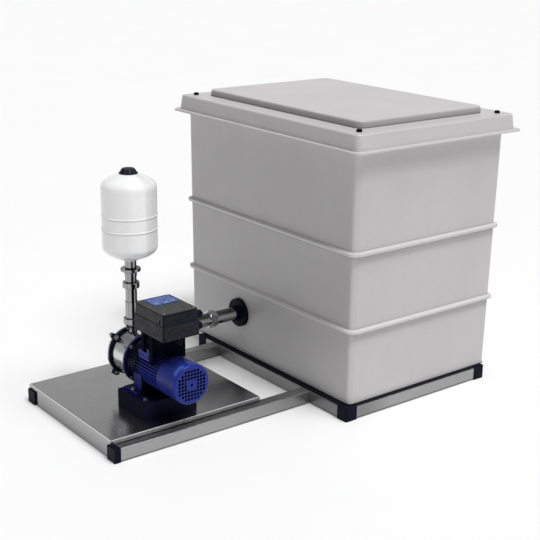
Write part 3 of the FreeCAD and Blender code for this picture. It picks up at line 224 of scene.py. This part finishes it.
MATS = {}
MATS["steel_tube"] = brushed("steel_tube", (0.365, 0.362, 0.365), 0.32, (1, 1, 14))
MATS["pump_steel"] = brushed("pump_steel", (0.66, 0.66, 0.665), 0.18, (1, 8, 1), streak=0.08, bumps=0.05)
MATS["pipe_steel"] = brushed("pipe_steel", (0.50, 0.50, 0.51), 0.16, (6, 6, 1), streak=0.06, bumps=0.04)
MATS["bolt_steel"] = brushed("bolt_steel", (0.50, 0.50, 0.50), 0.28, (3, 3, 3), streak=0.1)
MATS["bearing_steel"] = brushed("bearing_steel", (0.6, 0.6, 0.61), 0.25, (3, 3, 3))
MATS["shaft_steel"] = brushed("shaft_steel", (0.56, 0.56, 0.57), 0.25, (3, 3, 3))
MATS["lamination"] = brushed("lamination", (0.18, 0.15, 0.13), 0.5, (1, 30, 1), streak=0.3)
MATS["valve_brass"] = brushed("valve_brass", (0.65, 0.45, 0.16), 0.3, (3, 3, 3))
MATS["black_nylon"] = plastic("black_nylon", (0.0032, 0.0034, 0.013), 0.45, spec=0.06)
MATS["black_rubber"] = plastic("black_rubber", (0.006, 0.006, 0.009), 0.7, 900, 0.4, 0.15)
MATS["seal_carbon"] = plastic("seal_carbon", (0.03, 0.03, 0.03), 0.5)
MATS["bladder_rubber"] = plastic("bladder_rubber", (0.02, 0.02, 0.02), 0.6)
MATS["grey_board"] = plastic("grey_board", (0.012, 0.012, 0.016), 0.6, spec=0.2)
MATS["float_plastic"] = plastic("float_plastic", (0.7, 0.16, 0.03), 0.4)
MATS["board_green"] = plastic("board_green", (0.02, 0.14, 0.06), 0.45)
MATS["key_grey"] = plastic("key_grey", (0.16, 0.24, 0.38), 0.5)
MATS["plinth_black"] = plastic("plinth_black", (0.0042, 0.0045, 0.019), 0.45, 700, 0.3, spec=0.05)


AXIS = (-0.4362, 0.036, 0.184)


def blue(name, kind):
    """Blue enamel with painted shade. The covers are bright but darken on top towards the back and underneath; fins and
    brackets fall off to black in their hollows.
    """
    hi, lo = (0.018, 0.031, 0.245), (0.0032, 0.0038, 0.016)
    if kind == "fins":
        hi = (0.026, 0.045, 0.36)
    elif kind == "cover":
        hi = (0.0135, 0.028, 0.228)
    m = Mat(name, hi, 0.0, 0.26)
    m.b.inputs["Specular IOR Level"].default_value = 0.16
    x, y, z = m.sep()
    dx = m.math("SUBTRACT", x, AXIS[0])
    dz = m.math("SUBTRACT", z, AXIS[2])
    r = m.math("SQRT", m.math("ADD", m.math("MULTIPLY", dx, dx), m.math("MULTIPLY", dz, dz)))
    w = m.noise(26, 4, 0.6, distortion=0.4)
    g = m.noise(900, 2, 0.5)
    if kind == "fins":
        # painted shade: the fins go black in the hollows between them and towards the bracket end
        f = m.maprange(r, 0.0480, 0.0530, 1.0, 0.0)
        f = m.math("ADD", f, m.maprange(w, 0.5, 0.75, 0.0, 0.25), clamp=True)
        f = m.math("MAXIMUM", f, m.maprange(y, -0.090, -0.078, 0.0, 0.95))
    elif kind == "foot":
        f = m.maprange(w, 0.4, 0.7, 0.0, 0.5)
    elif kind == "cast":
        # painted shade: the bracket goes black inside its blue rim and towards the bottom
        f = m.maprange(r, 0.0742, 0.0768, 0.97, 0.0)
        f = m.math("ADD", f, m.maprange(w, 0.5, 0.75, 0.0, 0.2), clamp=True)
        f = m.math("MAXIMUM", f, m.maprange(z, 0.112, 0.100, 0.0, 0.93))
    else:
        # painted shade: the cover darkens on top towards the back under the drive, and underneath, broken up by
        # mottling
        top_shade = m.maprange(dz, 0.026, 0.056, 0.0, 1.0)
        back_shade = m.maprange(y, -0.262, -0.232, 0.0, 1.0)
        low_shade = m.maprange(dz, -0.034, -0.058, 0.0, 0.8)
        f = m.math("MULTIPLY", top_shade, back_shade)
        f = m.math("MULTIPLY", f, m.maprange(w, 0.38, 0.56, 0.70, 1.0))
        f = m.math("MAXIMUM", f, m.maprange(w, 0.50, 0.72, 0.0, 0.45))
        f = m.math("MAXIMUM", f, m.math("MULTIPLY", low_shade, m.maprange(w, 0.4, 0.58, 0.3, 1.0)))
        f = m.math("MULTIPLY", f, m.maprange(y, -0.274, -0.262, 0.0, 1.0), clamp=True)
    col = m.mix(f, hi, lo)
    if kind == "cover":
        # painted highlight: a paler patch on the shoulder towards the upper left, with a bright front rim beside it
        highlight_patch = m.math("MULTIPLY", m.span(y, -0.2745, -0.2600, 0.0015), m.span(dx, -0.046, -0.020, 0.004))
        highlight_patch = m.math("MULTIPLY", highlight_patch, m.maprange(dz, 0.026, 0.036, 0.0, 1.0))
        highlight_patch = m.math("MULTIPLY", highlight_patch, m.maprange(m.noise(160, 3, 0.6), 0.38, 0.55, 0.35, 1.0))
        col = m.mix(m.math("MULTIPLY", highlight_patch, 0.6), col, (0.075, 0.16, 0.42))
        # painted shade: the edges of the holes and the inside of the face are made near black
        inner_shade = m.math("MULTIPLY", m.maprange(y, -0.28185, -0.28150, 0.0, 1.0), m.maprange(r, 0.0520, 0.0500, 0.0, 1.0))
        # painted shade: dark chamfers round the holes of the grid
        ps = [m.math("MULTIPLY", c, 1.0 / 0.0102) for c in (dx, dz)]
        ij = [m.math("ROUND", c) for c in ps]
        fr = [m.math("SUBTRACT", a_, b_) for a_, b_ in zip(ps, ij)]
        sq = [m.math("MULTIPLY", c, c) for c in fr + ij]
        away = m.math("MULTIPLY", m.math("SQRT", m.math("ADD", sq[0], sq[1])), 0.0102)
        rank = m.math("MAXIMUM", m.math("ABSOLUTE", ij[0]), m.math("ABSOLUTE", ij[1]))
        there = m.math("MULTIPLY", m.math("GREATER_THAN", rank, 1.5), m.math("LESS_THAN", m.math("ADD", sq[2], sq[3]), 20.8))
        there = m.math("MAXIMUM", there, m.math("LESS_THAN", rank, 0.5))
        hole_ring_shade = m.math("MULTIPLY", m.math("MULTIPLY", m.maprange(away, 0.00450, 0.00425, 0.0, 1.0), there), m.maprange(y, -0.2805, -0.2812, 0.0, 1.0))
        col = m.mix(m.math("MAXIMUM", inner_shade, hole_ring_shade), col, (0.0016, 0.0018, 0.006))
    if kind == "foot":
        # painted light and shade: the foot is near black except its west faces and the top of its outer rim, painted
        # lit blue
        nn = m.node("ShaderNodeSeparateXYZ")
        m.link(m.coord.outputs["Normal"], nn.inputs[0])
        lit = m.math("MULTIPLY", m.maprange(nn.outputs["X"], -0.5, -0.8, 0.0, 1.0), m.maprange(w, 0.35, 0.6, 0.5, 1.0))
        rim_light = m.math("MULTIPLY", m.maprange(nn.outputs["Z"], 0.5, 0.8, 0.0, 1.0), m.maprange(x, -0.5060, -0.5075, 0.0, 1.0))
        col = m.mix(m.math("MAXIMUM", lit, rim_light), (0.0036, 0.0046, 0.026), hi)
    m.base(col)
    m.rough(m.math("ADD", m.maprange(w, 0.3, 0.7, 0.20, 0.34), m.maprange(g, 0.3, 0.7, -0.02, 0.02)))
    m.bump(g, 0.10, 0.00010)
    m.bump(m.noise(60, 3, 0.5), 0.10, 0.0006)
    return m


def drive():
    """Black textured casting: fine vertical grain on the box, a plainer band on the cover's side, with painted shade on
    the front faces and painted light on the top faces.
    """
    m = Mat("drive_black", (0.03, 0.03, 0.031), 0.0, 0.5)
    m.b.inputs["Specular IOR Level"].default_value = 0.10
    nx = m.node("ShaderNodeSeparateXYZ")
    x, y, z = m.sep()
    m.link(m.coord.outputs["Normal"], nx.inputs[0])
    grain = m.noise(720, 2, 0.5, stretch=(1, 1, 0.14))
    soft = m.noise(30, 4, 0.6)
    hi, lo = (0.070, 0.070, 0.071), (0.0042, 0.0045, 0.012)
    # painted light and shade: top faces are painted paler and front faces darker than the sides
    top_ = m.maprange(nx.outputs["Z"], 0.55, 0.85, 0.0, 1.0)
    front = m.maprange(nx.outputs["Y"], -0.45, -0.75, 0.0, 1.0)
    band = m.maprange(z, 0.3535, 0.3555, 0.0, 1.0)
    t = m.maprange(grain, 0.44, 0.56, 0.0, 1.0)
    dots = m.maprange(m.noise(900, 2, 0.5), 0.42, 0.58, 0.0, 1.0)
    side = m.mix(band, m.mix(t, 0.28, 1.02), m.mix(dots, 0.74, 0.96))
    top_light = m.mix(dots, 0.62, 1.12)
    front_shade = m.mix(band, m.mix(t, 0.0, 0.38), m.mix(t, 0.0, 0.20))
    v = m.mix(top_, side, top_light)
    v = m.mix(front, v, front_shade)
    v = m.mix(m.maprange(soft, 0.4, 0.7, 0.0, 0.3), v, 0.2)
    # the seam under the cover stays black, and the line below its top edge is painted shade for a groove
    lines = m.math("MAXIMUM", m.span(z, 0.3505, 0.3535, 0.0005), m.math("MULTIPLY", m.span(z, 0.3812, 0.3836, 0.0005), 0.9))
    v = m.mix(m.math("MULTIPLY", lines, m.math("SUBTRACT", 1.0, top_)), v, 0.0)
    near = m.math("MULTIPLY", m.maprange(x, -0.4908, -0.4925, 0.0, 1.0), m.maprange(y, -0.2262, -0.2280, 0.0, 1.0))
    v = m.mix(m.math("MULTIPLY", near, 0.95), v, 0.0)
    m.base(m.mix(v, lo, hi))
    m.rough(m.maprange(soft, 0.3, 0.7, 0.46, 0.6))
    m.bump(grain, 0.5, 0.00025)
    return m


def tray():
    """Folded stainless sheet, cold rolled: long faint rolling lines and a few soft stains, with painted reflection and
    shade over the top, bends and skirts.
    """
    m = Mat("stainless_sheet", (0.5, 0.5, 0.5), 1.0, 0.2)
    x, y, z = m.sep()
    lines = m.noise(70, 4, 0.6, stretch=(1, 14, 1))
    soft = m.noise(7, 4, 0.55)
    # painted reflection: the top is paler to the west and darker towards the tank
    side = m.maprange(x, -0.40, -0.24, 0.0, 1.0)
    col = m.mix(side, (0.60, 0.595, 0.60), (0.40, 0.40, 0.41))
    col = m.mix(m.maprange(lines, 0.35, 0.65, 0.0, 0.14), col, (0.42, 0.42, 0.42))
    col = m.mix(m.maprange(soft, 0.4, 0.75, 0.0, 0.22), col, (0.36, 0.36, 0.365))
    nn = m.node("ShaderNodeSeparateXYZ")
    m.link(m.coord.outputs["Normal"], nn.inputs[0])
    flat = m.maprange(nn.outputs["Z"], 0.5, 0.8, 0.0, 1.0)
    # painted highlight along the two near bends, with a painted dark line just inside them
    bend = m.math("MAXIMUM", m.span(x, -0.6700, -0.6665, 0.0006), m.span(y, -0.2280, -0.2246, 0.0006))
    bend_shade = m.math("MAXIMUM", m.span(x, -0.6655, -0.6630, 0.0006), m.span(y, -0.2236, -0.2212, 0.0006))
    bend_highlight = m.math("MULTIPLY", bend, flat)
    m.link(m.math("SUBTRACT", 1.0, m.math("MULTIPLY", bend_highlight, 0.85)), m.b.inputs["Metallic"])
    col = m.mix(m.math("MULTIPLY", bend_highlight, 0.9), col, (0.86, 0.86, 0.86))
    col = m.mix(m.math("MULTIPLY", m.math("MULTIPLY", bend_shade, flat), 0.45), col, (0.20, 0.20, 0.205))
    # painted shade: west faces are darker, darkest towards the bottom
    west_shade = m.maprange(nn.outputs["X"], -0.5, -0.8, 0.0, 1.0)
    col = m.mix(west_shade, col, m.mix(m.maprange(z, 0.010, 0.054, 0.0, 1.0), (0.24, 0.238, 0.24), (0.36, 0.358, 0.36)))
    # painted light: the upper part of the front skirt is painted paler
    skirt_light = m.math("MULTIPLY", m.maprange(nn.outputs["Y"], -0.5, -0.8, 0.0, 1.0), m.maprange(z, 0.043, 0.055, 0.0, 1.0))
    col = m.mix(m.math("MULTIPLY", skirt_light, 0.6), col, (0.80, 0.80, 0.80))
    m.base(col)
    m.rough(m.math("ADD", m.maprange(lines, 0.3, 0.7, -0.02, 0.03), m.maprange(soft, 0.3, 0.7, 0.17, 0.25)))
    m.bump(lines, 0.04, 0.00005)
    return m


def label():
    """Printed membrane panel: deep blue with generic rows of short pale marks."""
    m = Mat("panel_blue", (0.03, 0.08, 0.4), 0.0, 0.35)
    m.b.inputs["Specular IOR Level"].default_value = 0.25
    x, y, z = m.sep()
    u = m.math("SUBTRACT", x, -0.4702)
    v = m.math("SUBTRACT", y, -0.151)
    row = m.math("FRACT", m.math("MULTIPLY", v, 1.0 / 0.0072))
    rid = m.math("FLOOR", m.math("MULTIPLY", v, 1.0 / 0.0072))
    inrow = m.math("MULTIPLY", m.math("GREATER_THAN", row, 0.30), m.math("LESS_THAN", row, 0.72))
    cell = m.math("FLOOR", m.math("MULTIPLY", u, 1.0 / 0.0034))
    cx = m.node("ShaderNodeCombineXYZ")
    m.link(cell, cx.inputs[0])
    m.link(rid, cx.inputs[1])
    wn = m.node("ShaderNodeTexWhiteNoise")
    wn.noise_dimensions = "2D"
    m.link(cx.outputs[0], wn.inputs["Vector"])
    on = m.math("MULTIPLY", inrow, m.math("GREATER_THAN", wn.outputs["Value"], 0.38))
    tan = m.math("GREATER_THAN", wn.outputs["Value"], 0.80)
    mark = m.mix(tan, (0.095, 0.27, 0.64), (0.30, 0.27, 0.19))
    fld = m.mix(m.maprange(m.noise(140, 2, 0.5), 0.4, 0.6, 0.0, 1.0), (0.009, 0.036, 0.24), (0.015, 0.060, 0.33))
    m.base(m.mix(on, fld, mark))
    m.rough(m.maprange(m.noise(30, 3, 0.5), 0.3, 0.7, 0.3, 0.42))
    return m


MATS["blue_paint"] = blue("blue_paint", "cast")
MATS["cover_blue"] = blue("cover_blue", "cover")
MATS["fin_blue"] = blue("fin_blue", "fins")
foot_mat = blue("foot_blue", "foot")
MATS["drive_black"] = drive()
MATS["stainless_sheet"] = tray()
MATS["panel_blue"] = label()


def grp():
    """Glass-fibre moulding: satin gel coat, faint mottling and flow marks."""
    m = Mat("tank_grey", (0.56, 0.545, 0.545), 0.0, 0.38)
    m.b.inputs["Specular IOR Level"].default_value = 0.45
    w = m.noise(3.2, 5, 0.6, distortion=0.6)
    f = m.noise(70, 4, 0.65)
    v = m.noise(9, 3, 0.5, stretch=(1, 1, 0.25))
    col = m.mix(m.maprange(w, 0.35, 0.7, 0.0, 1.0), (0.57, 0.555, 0.555), (0.54, 0.525, 0.527))
    col = m.mix(m.maprange(v, 0.4, 0.7, 0.0, 0.35), col, (0.52, 0.505, 0.51))
    col = m.mix(m.maprange(f, 0.35, 0.65, 0.0, 0.25), col, (0.60, 0.59, 0.59))
    # painted shade: the raised panel's sloping edge is painted a little darker, with a thin dark line along its foot
    x, y, z = m.sep()
    nz = m.node("ShaderNodeSeparateXYZ")
    m.link(m.coord.outputs["Normal"], nz.inputs[0])
    slope_shade = m.math("MULTIPLY", m.maprange(z, 0.8665, 0.869, 0.0, 1.0), m.maprange(nz.outputs["Z"], 0.93, 0.75, 0.0, 1.0))
    col = m.mix(m.math("MULTIPLY", slope_shade, m.maprange(z, 0.870, 0.884, 0.98, 0.45)), col, (0.33, 0.32, 0.325))
    foot = m.math("MULTIPLY", m.span(z, 0.8645, 0.8690, 0.0006), m.maprange(nz.outputs["Z"], 0.985, 0.9, 0.0, 1.0))
    inx = m.math("MULTIPLY", m.span(x, 0.018, 0.646, 0.002), m.span(y, -0.433, 0.433, 0.002))
    col = m.mix(m.math("MULTIPLY", m.math("MULTIPLY", foot, inx), 0.8), col, (0.16, 0.155, 0.16))
    # painted highlight: the rounded upright corner nearest the pump is painted a little paler
    corner_highlight = m.math("MULTIPLY", m.math("ADD", nz.outputs["X"], nz.outputs["Y"]), -0.7071)
    corner_highlight = m.math("MULTIPLY", m.maprange(corner_highlight, 0.90, 0.985, 0.0, 1.0), m.maprange(z, 0.815, 0.80, 0.0, 1.0))
    col = m.mix(m.math("MULTIPLY", corner_highlight, 0.42), col, (0.70, 0.69, 0.69))
    # thin shade under the two ribs
    under = m.math("MAXIMUM", m.span(z, 0.2640, 0.2688, 0.0012), m.span(z, 0.5010, 0.5058, 0.0012))
    above = m.math("MAXIMUM", m.span(z, 0.2842, 0.2858, 0.0008), m.span(z, 0.5212, 0.5228, 0.0008))
    col = m.mix(m.math("MULTIPLY", m.math("MAXIMUM", under, m.math("MULTIPLY", above, 0.7)), 0.42), col, (0.28, 0.27, 0.275))
    # painted light: rib faces are painted paler, most of all on the side away from the light
    left = m.maprange(nz.outputs["X"], -0.55, -0.90, 0.0, 1.0)
    frt = m.maprange(nz.outputs["Y"], -0.55, -0.90, 0.0, 1.0)
    rib_light = m.math("MAXIMUM", m.span(z, 0.2696, 0.2836, 0.0006), m.span(z, 0.5066, 0.5206, 0.0006))
    col = m.mix(m.math("MULTIPLY", rib_light, m.math("ADD", 0.25, m.math("MULTIPLY", left, 0.55))), col, (0.74, 0.73, 0.73))
    # painted light: the long side is painted paler low down, and the short side right under the lid, against the shade
    # there
    low_light = m.math("MULTIPLY", left, m.maprange(z, 0.50, 0.05, 0.0, 0.75))
    col = m.mix(low_light, col, (0.68, 0.665, 0.665))
    lip_light = m.math("MULTIPLY", frt, m.span(z, 0.745, 0.815, 0.045))
    col = m.mix(m.math("MULTIPLY", lip_light, 0.28), col, (0.70, 0.69, 0.69))
    m.base(col)
    m.rough(m.math("ADD", m.maprange(w, 0.3, 0.7, 0.34, 0.44), m.maprange(f, 0.3, 0.7, -0.03, 0.03)))
    m.bump(m.noise(22, 3, 0.5), 0.10, 0.0012)
    m.bump(f, 0.12, 0.0002)
    return m


MATS["tank_grey"] = grp()


def vessel():
    """White gloss powder coat, greyer round one flank as painted shade, with painted shade lines under the two beads.
    """
    m = Mat("vessel_coat", (0.93, 0.93, 0.93), 0.0, 0.22)
    m.b.inputs["Coat Weight"].default_value = 0.5
    m.b.inputs["Coat Roughness"].default_value = 0.12
    x, y, z = m.sep()
    a = m.math("ARCTAN2", m.math("SUBTRACT", y, AXIS[1]), m.math("SUBTRACT", x, AXIS[0]))
    f = m.maprange(a, -math.pi, math.pi, 0.0, 1.0)
    w = m.noise(14, 5, 0.6)
    g = m.noise(420, 2, 0.5)
    # painted light and shade: brightness in bands by the angle round the barrel
    round_shading = m.ramp(f, [(0.0, 1.0), (0.10, 0.97), (0.155, 0.93), (0.185, 0.97), (0.255, 0.97), (0.272, 0.82), (0.335, 0.80), (0.365, 0.95),
                      (0.42, 0.80), (0.60, 0.86), (0.85, 1.0), (0.90, 1.0), (1.0, 1.0)])
    col = m.mix(1.0, (0.98, 0.98, 0.98), round_shading, "MULTIPLY")
    col = m.mix(m.maprange(w, 0.4, 0.75, 0.0, 0.12), col, (0.82, 0.82, 0.83))
    col = m.mix(m.maprange(g, 0.4, 0.6, 0.0, 0.05), col, (0.70, 0.70, 0.71))
    # painted shade: thin dark lines under the two beads
    lines = m.math("MAXIMUM", m.span(z, 0.5645, 0.5668, 0.0006), m.span(z, 0.6045, 0.6068, 0.0006))
    col = m.mix(m.math("MULTIPLY", lines, 0.5), col, (0.50, 0.50, 0.51))
    m.base(col)
    m.rough(m.maprange(w, 0.3, 0.7, 0.16, 0.28))
    m.bump(g, 0.06, 0.00010)
    return m


MATS["vessel_white"] = vessel()


def square_tube():
    """Brushed square tube: long drawing lines, a painted highlight along the top edge, a painted shade line at the
    foot, and painted shade on west faces and some front faces.
    """
    m = Mat("square_tube", (0.365, 0.362, 0.365), 1.0, 0.32)
    x, y, z = m.sep()
    fx = m.noise(60, 4, 0.6, stretch=(1, 1, 14))
    soft = m.noise(3.0, 3, 0.5)
    col = m.mix(m.ramp(fx, [(0.3, 0.0), (0.7, 1.0)]), (0.315, 0.312, 0.315), (0.41, 0.407, 0.41))
    col = m.mix(m.maprange(soft, 0.35, 0.7, 0.0, 0.22), col, (0.31, 0.308, 0.312))
    nn = m.node("ShaderNodeSeparateXYZ")
    m.link(m.coord.outputs["Normal"], nn.inputs[0])
    side = m.maprange(nn.outputs["Z"], 0.5, 0.3, 0.0, 1.0)
    # painted shade: front faces along the middle of the frame are darker
    east_shade = m.math("MULTIPLY", m.maprange(x, -0.30, 0.05, 0.0, 1.0), m.math("SUBTRACT", 1.0, m.maprange(x, 0.10, 0.20, 0.0, 1.0)))
    frt = m.maprange(nn.outputs["Y"], -0.5, -0.8, 0.0, 1.0)
    west_shade = m.maprange(nn.outputs["X"], -0.5, -0.8, 0.0, 1.0)
    col = m.mix(m.math("MULTIPLY", m.math("MULTIPLY", east_shade, frt), 0.55), col, (0.15, 0.15, 0.153))
    # painted shade: west faces are darker, most towards the front
    col = m.mix(m.math("MULTIPLY", west_shade, m.maprange(y, 0.25, -0.42, 0.10, 0.72)), col, (0.13, 0.13, 0.133))
    # painted highlight along the top edge of the sides, painted shade along their foot
    top_edge_highlight = m.math("MULTIPLY", m.span(z, 0.0395, 0.0418, 0.0005), side)
    low_shade = m.math("MULTIPLY", m.maprange(z, 0.0068, 0.0048, 0.0, 1.0), side)
    m.link(m.math("SUBTRACT", 1.0, m.math("MULTIPLY", top_edge_highlight, 0.7)), m.b.inputs["Metallic"])
    col = m.mix(m.math("MULTIPLY", top_edge_highlight, 0.6), col, (0.72, 0.72, 0.72))
    col = m.mix(m.math("MULTIPLY", low_shade, 0.8), col, (0.06, 0.06, 0.068))
    m.base(col)
    m.rough(m.math("ADD", m.maprange(fx, 0.3, 0.7, -0.04, 0.05), m.maprange(soft, 0.3, 0.7, 0.29, 0.36)))
    m.bump(fx, 0.10, 0.00006)
    return m


tube_mat = square_tube()


def grip_cap():
    """Black moulded cap with upright grip facets round its cone, their lighter stripes a painted sheen."""
    m = Mat("cap_black", (0.004, 0.004, 0.012), 0.0, 0.42)
    m.b.inputs["Specular IOR Level"].default_value = 0.15
    x, y, z = m.sep()
    a = m.math("ARCTAN2", m.math("SUBTRACT", y, AXIS[1]), m.math("SUBTRACT", x, AXIS[0]))
    c = m.math("COSINE", m.math("MULTIPLY", a, 10.0))
    grip_sheen = m.math("MULTIPLY", m.maprange(c, 0.1, 0.5, 0.0, 1.0), m.span(z, 0.7330, 0.7418, 0.0008))
    w = m.noise(60, 3, 0.5)
    col = m.mix(m.maprange(w, 0.35, 0.7, 0.0, 1.0), (0.0034, 0.0036, 0.012), (0.0060, 0.0062, 0.016))
    m.base(m.mix(grip_sheen, col, (0.024, 0.024, 0.031)))
    m.rough(m.maprange(w, 0.3, 0.7, 0.36, 0.5))
    m.bump(c, 0.5, 0.0006)
    return m


cap_mat = grip_cap()
# painted shade: the terminal pedestal is near black so that it reads as the shade under the drive box
pedestal = plastic("pedestal_shade_black", (0.0022, 0.0024, 0.009), 0.6, 700, 0.3, 0.02)
# painted reflection on the vertical pipes: brightness round them, by the angle from -X through -Y, +X and +Y (turns)
ROUND = [(0.0, 0.42), (0.04, 0.64), (0.08, 0.42), (0.12, 0.56), (0.165, 0.49), (0.180, 0.10), (0.190, 0.05), (0.222, 0.05),
         (0.236, 0.49), (0.278, 0.60), (0.300, 0.10), (0.55, 0.08), (0.62, 0.40), (0.75, 0.30), (0.85, 0.56), (0.90, 0.28), (0.94, 0.36), (1.0, 0.42)]
# painted reflection on the level suction pipe: brightness by height across it, dark at bottom and top, brightest a
# little above the middle
LEVEL_REFLECTION = [(0.0, 0.08), (0.20, 0.10), (0.36, 0.42), (0.48, 0.95), (0.58, 1.25), (0.68, 1.3), (0.76, 0.55), (0.84, 0.12), (1.0, 0.25)]
riser_mat = tubular("riser_steel", (0.62, 0.62, 0.63), 0.14, "z", AXIS, 0.0, ROUND)
level_mat = tubular("suction_steel", (0.62, 0.62, 0.63), 0.16, "x", AXIS, 0.0212, LEVEL_REFLECTION, (1, 8, 8))
NODEMAT = {"riser_pipes": riser_mat, "check_valve_body": riser_mat, "riser_nut": riser_mat,
           "vessel_connector": riser_mat, "suction_pipes": level_mat, "suction_elbow": level_mat,
           "frame_tubes": tube_mat, "skid_tubes": tube_mat, "terminal_pedestal": pedestal,
           "motor_foot": foot_mat, "vessel_cap": cap_mat}

for n, o in N.items():
    o.data.materials.clear()
    o.data.materials.append(NODEMAT.get(n, MATS[SLOT[n]]).m)


# ---------------------------------------------------------- finish CAD nodes
def smooth(o, angle=28):
    me = o.data
    me.polygons.foreach_set("use_smooth", [True] * len(me.polygons))
    me.set_sharp_from_angle(angle=math.radians(angle))


def soften(o, width=0.6, segments=2, angle=30):
    """Welds the facets and rounds the sharp edges a little, so that they catch the light."""
    w = o.modifiers.new("weld", "WELD")
    w.merge_threshold = 0.00002
    b = o.modifiers.new("bevel", "BEVEL")
    b.width = width * MM
    b.segments = segments
    b.limit_method = "ANGLE"
    b.angle_limit = math.radians(angle)
    b.harden_normals = False
    b.use_clamp_overlap = True
    o.modifiers.new("wn", "WEIGHTED_NORMAL").keep_sharp = True


for n, o in N.items():
    smooth(o)
for n, wd in (("tank_body", 0.9), ("tank_lid", 0.9), ("pump_tray", 0.5), ("pump_plinth", 1.2), ("drive_base", 0.8),
              ("drive_cover", 0.6), ("frame_tubes", 0.5), ("skid_tubes", 0.5), ("rail_end_caps", 0.6),
              ("corner_connectors", 0.6), ("terminal_pedestal", 0.6), ("motor_foot", 0.5), ("motor_bracket", 0.5),
              ("casing_end_cover", 0.6), ("vessel_cap", 0.5), ("motor_housing", 0.35), ("casing_clamp", 0.4)):
    if n in N:
        soften(N[n], wd)

# ------------------------------------------------------------- camera, light
cam_data = bpy.data.cameras.new("camera")
cam = bpy.data.objects.new("camera", cam_data)
scene.collection.objects.link(cam)
az, el, roll = math.radians(-37.863), math.radians(-17.387), math.radians(0.756)
fwd = Vector((-math.sin(az) * math.cos(el), math.cos(az) * math.cos(el), math.sin(el)))
right = Vector((math.cos(az), math.sin(az), 0))
up = right.cross(fwd)
r2 = right * math.cos(roll) + up * math.sin(roll)
u2 = -right * math.sin(roll) + up * math.cos(roll)
rot = Matrix((r2, u2, -fwd)).transposed()
cam.matrix_world = Matrix.Translation(Vector((-2.058531, -2.716556, 1.436859))) @ rot.to_4x4()
cam_data.sensor_width = 36
cam_data.sensor_fit = "HORIZONTAL"
cam_data.lens = 1132.58 / 540 * 36
cam_data.clip_end = 100
scene.camera = cam

world = bpy.data.worlds.new("studio")
scene.world = world
world.use_nodes = True
wt = world.node_tree
wt.nodes.clear()
wo = wt.nodes.new("ShaderNodeOutputWorld")
bg = wt.nodes.new("ShaderNodeBackground")
tc = wt.nodes.new("ShaderNodeTexCoord")
sx = wt.nodes.new("ShaderNodeSeparateXYZ")
rp = wt.nodes.new("ShaderNodeValToRGB")
wt.links.new(tc.outputs["Generated"], sx.inputs[0])
wt.links.new(sx.outputs["Z"], rp.inputs["Fac"])
e = rp.color_ramp.elements
e[0].position, e[0].color = 0.0, (0.10, 0.10, 0.105, 1)
e[1].position, e[1].color = 1.0, (0.34, 0.34, 0.34, 1)
k = e.new(0.3)
k.color = (0.12, 0.12, 0.125, 1)
k = e.new(0.6)
k.color = (0.20, 0.20, 0.205, 1)
# a pale backdrop stands behind the set: bright low down, on the far side only
dt = wt.nodes.new("ShaderNodeVectorMath")
dt.operation = "DOT_PRODUCT"
dt.inputs[1].default_value = (0.45, 0.89, 0.0)
wt.links.new(tc.outputs["Generated"], dt.inputs[0])
br = wt.nodes.new("ShaderNodeMapRange")
br.inputs[1].default_value, br.inputs[2].default_value = 0.15, 0.75
br.inputs[3].default_value, br.inputs[4].default_value = 0.0, 1.0
wt.links.new(dt.outputs["Value"], br.inputs[0])
hr = wt.nodes.new("ShaderNodeMapRange")
hr.inputs[1].default_value, hr.inputs[2].default_value = 0.22, 0.55
hr.inputs[3].default_value, hr.inputs[4].default_value = 1.0, 0.0
wt.links.new(sx.outputs["Z"], hr.inputs[0])
mu = wt.nodes.new("ShaderNodeMath")
mu.operation = "MULTIPLY"
wt.links.new(br.outputs[0], mu.inputs[0])
wt.links.new(hr.outputs[0], mu.inputs[1])
mx = wt.nodes.new("ShaderNodeMix")
mx.data_type = "RGBA"
wt.links.new(mu.outputs[0], mx.inputs[0])
wt.links.new(rp.outputs["Color"], mx.inputs[6])
mx.inputs[7].default_value = (0.78, 0.78, 0.78, 1)
wt.links.new(mx.outputs[2], bg.inputs["Color"])
bg.inputs["Strength"].default_value = 1.0
wt.links.new(bg.outputs[0], wo.inputs[0])


def area(name, pos, target, sx_, sy_, watts):
    d = bpy.data.lights.new(name, "AREA")
    d.shape = "RECTANGLE"
    d.size, d.size_y, d.energy = sx_, sy_, watts
    o = bpy.data.objects.new(name, d)
    scene.collection.objects.link(o)
    o.location = pos
    o.rotation_euler = (Vector(target) - Vector(pos)).to_track_quat("-Z", "Y").to_euler()
    return o


sun = bpy.data.lights.new("key", "SUN")
sun.energy = 2.1
sun.angle = math.radians(38)
so = bpy.data.objects.new("key", sun)
scene.collection.objects.link(so)
sd = Vector((-0.10, 0.36, -0.93))
so.rotation_euler = sd.to_track_quat("-Z", "Y").to_euler()

crisp = bpy.data.lights.new("crisp", "SUN")
crisp.energy = 0.8
crisp.angle = math.radians(9)
co = bpy.data.objects.new("crisp", crisp)
scene.collection.objects.link(co)
co.rotation_euler = Vector((-0.04, 0.41, -0.91)).to_track_quat("-Z", "Y").to_euler()

fm = Mat("floor_pale", (0.80, 0.80, 0.80), 0.0, 0.7)
fm.b.inputs["Specular IOR Level"].default_value = 0.1
fw_ = fm.noise(2.0, 3, 0.5)
fm.base(fm.mix(fm.maprange(fw_, 0.3, 0.7, 0.0, 1.0), (0.80, 0.80, 0.80), (0.79, 0.79, 0.79)))
fm.b.inputs["Emission Color"].default_value = (1, 1, 1, 1)
fm.b.inputs["Emission Strength"].default_value = 0.10
bpy.ops.mesh.primitive_plane_add(size=80, location=(0, 0, 0))
floor = bpy.context.active_object
floor.name = "floor"
floor.data.materials.append(fm.m)

scene.view_settings.view_transform = "Standard"
scene.view_settings.look = "None"
